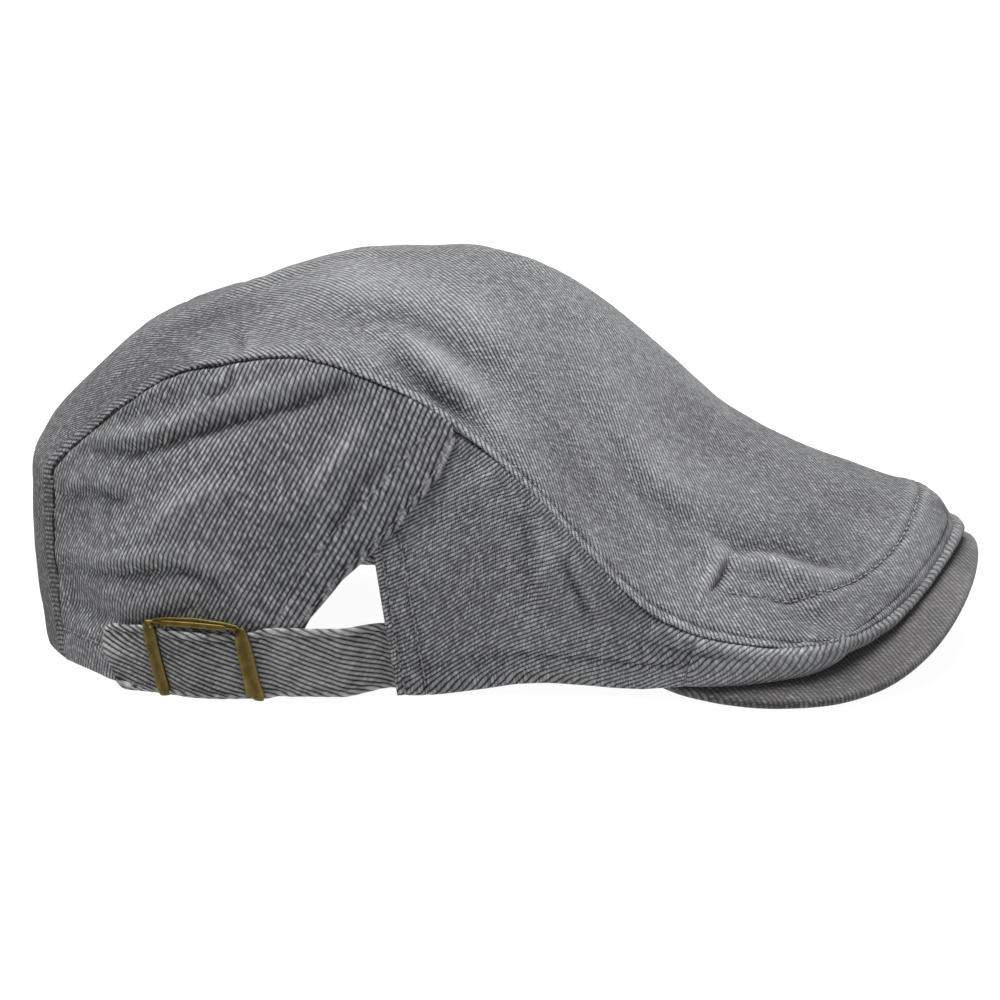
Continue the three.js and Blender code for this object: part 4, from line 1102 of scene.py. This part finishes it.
def strap(side, seed):
    length = STRAP_TUCK + STRAP_END
    steps = round(length / (0.7 * MM))
    fine = EDGE_STEPS[:-2]
    inner = np.linspace(fine[-1], length - fine[-1], steps)[1:-1]
    alongs = np.concatenate([fine, inner, length - fine[::-1]]) - STRAP_TUCK
    past = BUCKLE_DISTANCE + BUCKLE_HALF
    end = smooth((alongs - past) / (STRAP_END - past))
    crumpled = np.maximum(0, 1 - (STRAP_END - alongs) / STRAP_END_ROUND)
    width = profile(STRAP_WIDTHS, alongs) * (1 - 0.28 * crumpled**3)
    shares = edge_shares(width, 20)
    along = np.broadcast_to(alongs[:, None], shares.shape)
    level = profile(STRAP_HEIGHTS, alongs)[:, None]
    height = level + width[:, None] * (shares - 0.5)
    lean = lerp(STRAP_LEAN, STRAP_END_LEAN, end)[:, None]
    leaning = along + lean * (height - level) * smooth((along - 20 * MM) / (20 * MM))
    out = profile(STRAP_ROUTE, along) + STRAP_THICKNESS / 2
    base = on_wall(leaning, height, out)
    flip = np.array([1, side, 1])
    normal = grid_normals(base)
    normal = normal * -np.sign(normal[..., 1:2])
    edge = np.minimum(shares, 1 - shares) * width[:, None]
    from_end = STRAP_END - along
    small = grain(base * flip, 7 * MM, seed, 2)
    folds = 0.5 * MM * end[:, None] * np.sin(height / (2.1 * MM) + along / (9 * MM)) * smooth(edge / (2 * MM))
    selvedge = 1 - smooth((edge - 1.6 * MM) / (1.2 * MM))
    ripple = grain(np.stack([along, 0 * along, np.sign(shares - 0.5)], -1), 1.9 * MM, seed + 1)
    lift = 0.22 * MM * small + folds + 0.24 * MM * ripple * selvedge
    lift = lift - 0.24 * MM * groove(edge, 2.2 * MM, 0.7 * MM)
    thick = STRAP_THICKNESS / 2 * lerp(1, 1.7, end)[:, None] * (1 + 0.1 * selvedge)
    close = np.minimum(edge, np.minimum(from_end * 1.0, along + STRAP_TUCK))
    half = rounded(np.maximum(close, 0), thick)
    # Here the selvedge edges are paler with wear; fold and ripple tops are paler and their hollows carry
    # painted shade; painted shade lies in the groove beside each selvedge; darker beyond 30 mm along.
    wear_and_shade = 0.35 * small + 0.45 * selvedge + 0.8 * ripple * selvedge + 0.5 * folds / (0.5 * MM)
    wear_and_shade = wear_and_shade - 0.6 * groove(edge, 2.2 * MM, 0.7 * MM) - 0.25 * smooth((along - 0.03) / 0.01)
    middle = base + normal * lift[..., None]
    middle[..., 2] = np.maximum(middle[..., 2], half + ABOVE_TABLE)
    middle = middle * flip
    threads = turned(-along, height, STRAP_WALES)
    name = "right" if side > 0 else "left"
    piece = cloth_shell(f"strap_cloth_{name}", middle, half, threads, wear_and_shade, STRAP_TWILL,
                        f"strap_{name}")


def keeper(side):
    name = "right" if side > 0 else "left"
    width = BUCKLE_WINDOW - 2 * SEAM_GAP
    fine = EDGE_STEPS[:6]
    alongs = np.concatenate([fine, np.linspace(fine[-1], KEEPER_LENGTH - fine[-1], 12)[1:-1],
                             KEEPER_LENGTH - fine[::-1]])
    shares = edge_shares(width + 0 * alongs, 10)
    along = np.broadcast_to(alongs[:, None], shares.shape)
    height = STRAP_MIDDLE + width * (shares - 0.5)
    flip = np.array([1, side, 1])
    place = BUCKLE_DISTANCE - KEEPER_LENGTH / 2 + along
    middle = on_wall(place, height, LAY_GAP + KEEPER_THICKNESS / 2) * flip
    edge = np.minimum(np.minimum(shares, 1 - shares) * width, np.minimum(along, KEEPER_LENGTH - along))
    half = rounded(edge, KEEPER_THICKNESS / 2 + 0 * edge)
    threads = turned(-along, height, KEEPER_WALES)
    cloth_shell(f"keeper_cloth_{name}", middle, half, threads, 0 * half, TWILL,
                f"strap_keeper_{name}")


BAR_FACE_WEAR = 0.55  # how much duller a bar's flat faces are than its rubbed corners


def bent_bar(path, widths, thick, closed, flip):
    """A bar along a path of (along, height, out) places, with a rounded flat section."""
    count = 24
    turns = np.linspace(0, 2 * math.pi, count + 1)
    ahead = np.roll(path, -1, 0) - np.roll(path, 1, 0) if closed else np.gradient(path, axis=0)
    ahead[:, 2] = 0
    ahead = unit(ahead)
    sideways = np.stack([-ahead[:, 1], ahead[:, 0], 0 * ahead[:, 0]], -1)
    wide = signed_power(np.cos(turns), 0.4)[None, :, None] * widths[:, None, None]
    deep = signed_power(np.sin(turns), 0.5) * thick
    spots = path[:, None, :] + sideways[:, None, :] * wide
    spots[..., 1] = np.maximum(spots[..., 1], 0.1 * MM)
    out = spots[..., 2] + deep[None, :]
    points = on_wall(spots[..., 0], spots[..., 1], out)
    corner = np.abs(np.cos(turns) * np.sin(turns)) * 2
    points[..., 2] = np.maximum(points[..., 2], ABOVE_TABLE)
    return points * flip, np.broadcast_to(corner[None, :] - BAR_FACE_WEAR, out.shape)


FRAME_HALF = 15.2 * MM
FRAME_SHIFT = -1.2 * MM
FRAME_MIDDLE = 10.5 * MM
FRAME_HALF_RISE = 9.6 * MM
REAR_BAR = 2.0 * MM
FRONT_BAR = (2.6 * MM, 2.0 * MM)
FRAME_LEAN = 0.15
TOP_RAIL = 0.95 * MM
TOP_ARCH = 1.7 * MM
LOW_RAIL = 0.6 * MM
ROD = 0.8 * MM
ROD_WIRE = 0.36 * MM


def buckle(side):
    """Slide buckle: a bent frame whose side bars lie over the strap, a deeper centre bar and a rod on top."""
    name = "right" if side > 0 else "left"
    flip = np.array([1, side, 1])
    count = 220
    a = np.linspace(0, 2 * math.pi, count, endpoint=False)
    half_run = FRAME_HALF - REAR_BAR
    run = half_run * signed_power(np.cos(a), 2 / 16)
    rise = FRAME_HALF_RISE * signed_power(np.sin(a), 2 / 16)
    bar = smooth((np.abs(run) / half_run - 0.86) / 0.13)
    upper = smooth(rise / FRAME_HALF_RISE + 0.5)
    behind = lerp(-1.0 * MM, 0.5 * MM, upper)
    out = lerp(CENTRE_BAR_OUT + behind, SIDE_BAR_OUT, bar) + BUCKLE_PLATE / 2
    arch = TOP_ARCH * np.cos(np.clip(run / half_run, -1, 1) * math.pi / 2) ** 0.8 * upper * (1 - bar)
    front = smooth(0.5 - run / half_run)
    side_bar = lerp(REAR_BAR, lerp(FRONT_BAR[0], FRONT_BAR[1], upper), front)
    widths = lerp(lerp(LOW_RAIL, TOP_RAIL, upper), side_bar, smooth((np.abs(run) / half_run - 0.9) / 0.09))
    widths = np.convolve(np.tile(widths, 3), np.ones(5) / 5, "same")[count:2 * count]
    middle = BUCKLE_DISTANCE + FRAME_SHIFT
    path = np.stack([middle + run + FRAME_LEAN * rise, FRAME_MIDDLE + rise + arch, out], -1)
    points, wear_and_shade = bent_bar(path, widths, BUCKLE_PLATE / 2, True, flip)
    points, wear_and_shade = np.concatenate([points, points[:1]]), np.concatenate([wear_and_shade, wear_and_shade[:1]])
    shell(f"buckle_frame_{name}", [points], 0 * points[..., :2], wear_and_shade, BRASS,
          f"buckle_{name}")
    rods = []
    rise = np.linspace(-1, 1, 24) * FRAME_HALF_RISE
    tip = np.sqrt(np.maximum(0, 1 - np.linspace(-1, 1, 24) ** 16))
    path = np.stack([middle + FRAME_LEAN * rise, FRAME_MIDDLE + rise,
                     CENTRE_BAR_OUT + BUCKLE_PLATE / 2 + 0 * rise], -1)
    rods.append(("centre_bar", path, CENTRE_BAR / 2 * tip))
    share = np.linspace(-1, 1, 60)
    run = share * 12.4 * MM
    tip = np.sqrt(np.maximum(0, 1 - share**20))
    high = FRAME_HALF_RISE + 0.3 * MM + 0.5 * MM * (1 - share**2)
    out = SIDE_BAR_OUT + 0.3 * MM + 0 * run
    path = np.stack([middle + run + FRAME_LEAN * high, FRAME_MIDDLE + high, out], -1)
    rods.append(("inner_rod", path, lerp(ROD, ROD_WIRE, smooth((np.abs(share) - 0.68) / 0.1)) * tip))
    for rod, path, widths in rods:
        thick = np.minimum(BUCKLE_PLATE / 2, widths.max())
        points, wear_and_shade = bent_bar(path, widths, thick, False, flip)
        centre = points.mean(1, keepdims=True)
        scale = (widths / widths.max())[:, None, None]
        points = centre + (points - centre) * lerp(1, scale, 0.6 if rod == "inner_rod" else 1)
        shell(f"buckle_{rod}_{name}", [points], 0 * points[..., :2], wear_and_shade, BRASS, None)


# Stitches

STITCH_STEP = 2.7 * MM
STITCH_LENGTH = 2.1 * MM
STITCH_RADIUS = 0.24 * MM


def stitches(name, lines):
    """Short slanted stitches along lines of points on the cloth."""
    bm = bmesh.new()
    for line in lines:
        if len(line) < 3:
            continue
        along = lengths(line, 0)
        count = int(along[-1] // STITCH_STEP)
        for i in range(count):
            start = (i + 0.5) * STITCH_STEP
            ends = [np.array([np.interp(start + s * STITCH_LENGTH / 2, along, line[:, k]) for k in range(3)])
                    for s in (-1, 1)]
            middle = (ends[0] + ends[1]) / 2 - CAP_MIDDLE
            direction = Vector(ends[1] - ends[0])
            place = Matrix.Translation(middle) @ direction.to_track_quat("X", "Z").to_matrix().to_4x4()
            stretch = Matrix.Diagonal((direction.length / 2, STITCH_RADIUS, STITCH_RADIUS, 1))
            bmesh.ops.create_uvsphere(bm, u_segments=6, v_segments=4, radius=1, matrix=place @ stretch)
    finished(bm, name, THREAD, None)


brim_cover()
all_lines = {"front": front_panel(), "top": top_panel()}
for side, word, seed in ((1, "right", 51), (-1, "left", 61)):
    all_lines[word] = rear_panel(side, seed)
    strap(side, seed + 3)
    keeper(side)
    buckle(side)
for word, found in all_lines.items():
    stitches(f"stitches_{word}", found)


# Floor, light and camera

def floor():
    bm = bmesh.new()
    bmesh.ops.create_grid(bm, x_segments=1, y_segments=1, size=12)
    mesh = bpy.data.meshes.new("floor")
    bm.to_mesh(mesh)
    bm.free()
    paint = Paint("pale_floor", {"Base Color": (0.12, 0.12, 0.12, 1), "Roughness": 0.9,
                                 "Specular IOR Level": 0.0, "Emission Color": (1, 1, 1, 1),
                                 "Emission Strength": 0.96})
    mesh.materials.append(paint.material)
    piece = bpy.data.objects.new("floor", mesh)
    bpy.context.scene.collection.objects.link(piece)


def sun(name, strength, spread, direction):
    lamp = bpy.data.lights.new(name, "SUN")
    lamp.energy = strength
    lamp.angle = math.radians(spread)
    piece = bpy.data.objects.new(name, lamp)
    piece.rotation_euler = Vector(direction).to_track_quat("-Z", "Y").to_euler()
    bpy.context.scene.collection.objects.link(piece)


def camera():
    lens = bpy.data.cameras.new("camera")
    lens.lens = 36 / VIEW_WIDTH * VIEW_DISTANCE
    lens.clip_start = 0.1
    piece = bpy.data.objects.new("camera", lens)
    back = Vector((0, -math.cos(VIEW_TILT), math.sin(VIEW_TILT)))
    piece.location = Vector(VIEW_TARGET) + back * VIEW_DISTANCE
    piece.rotation_euler = (math.radians(90) - VIEW_TILT, 0, 0)
    bpy.context.scene.collection.objects.link(piece)
    bpy.context.scene.camera = piece


floor()
# Each sun: its strength, its spread in degrees and where its light goes
sun("overhead", 5.6, 40, (0.12, -0.06, -1))
sun("front_fill", 0.2, 60, (0.3, 0.9, -0.5))
world = bpy.data.worlds.new("studio")
world.use_nodes = True
world.node_tree.nodes["Background"].inputs["Color"].default_value = (1, 1, 1, 1)
world.node_tree.nodes["Background"].inputs["Strength"].default_value = 0.25
bpy.context.scene.world = world
bpy.context.scene.view_settings.view_transform = "Standard"
camera()
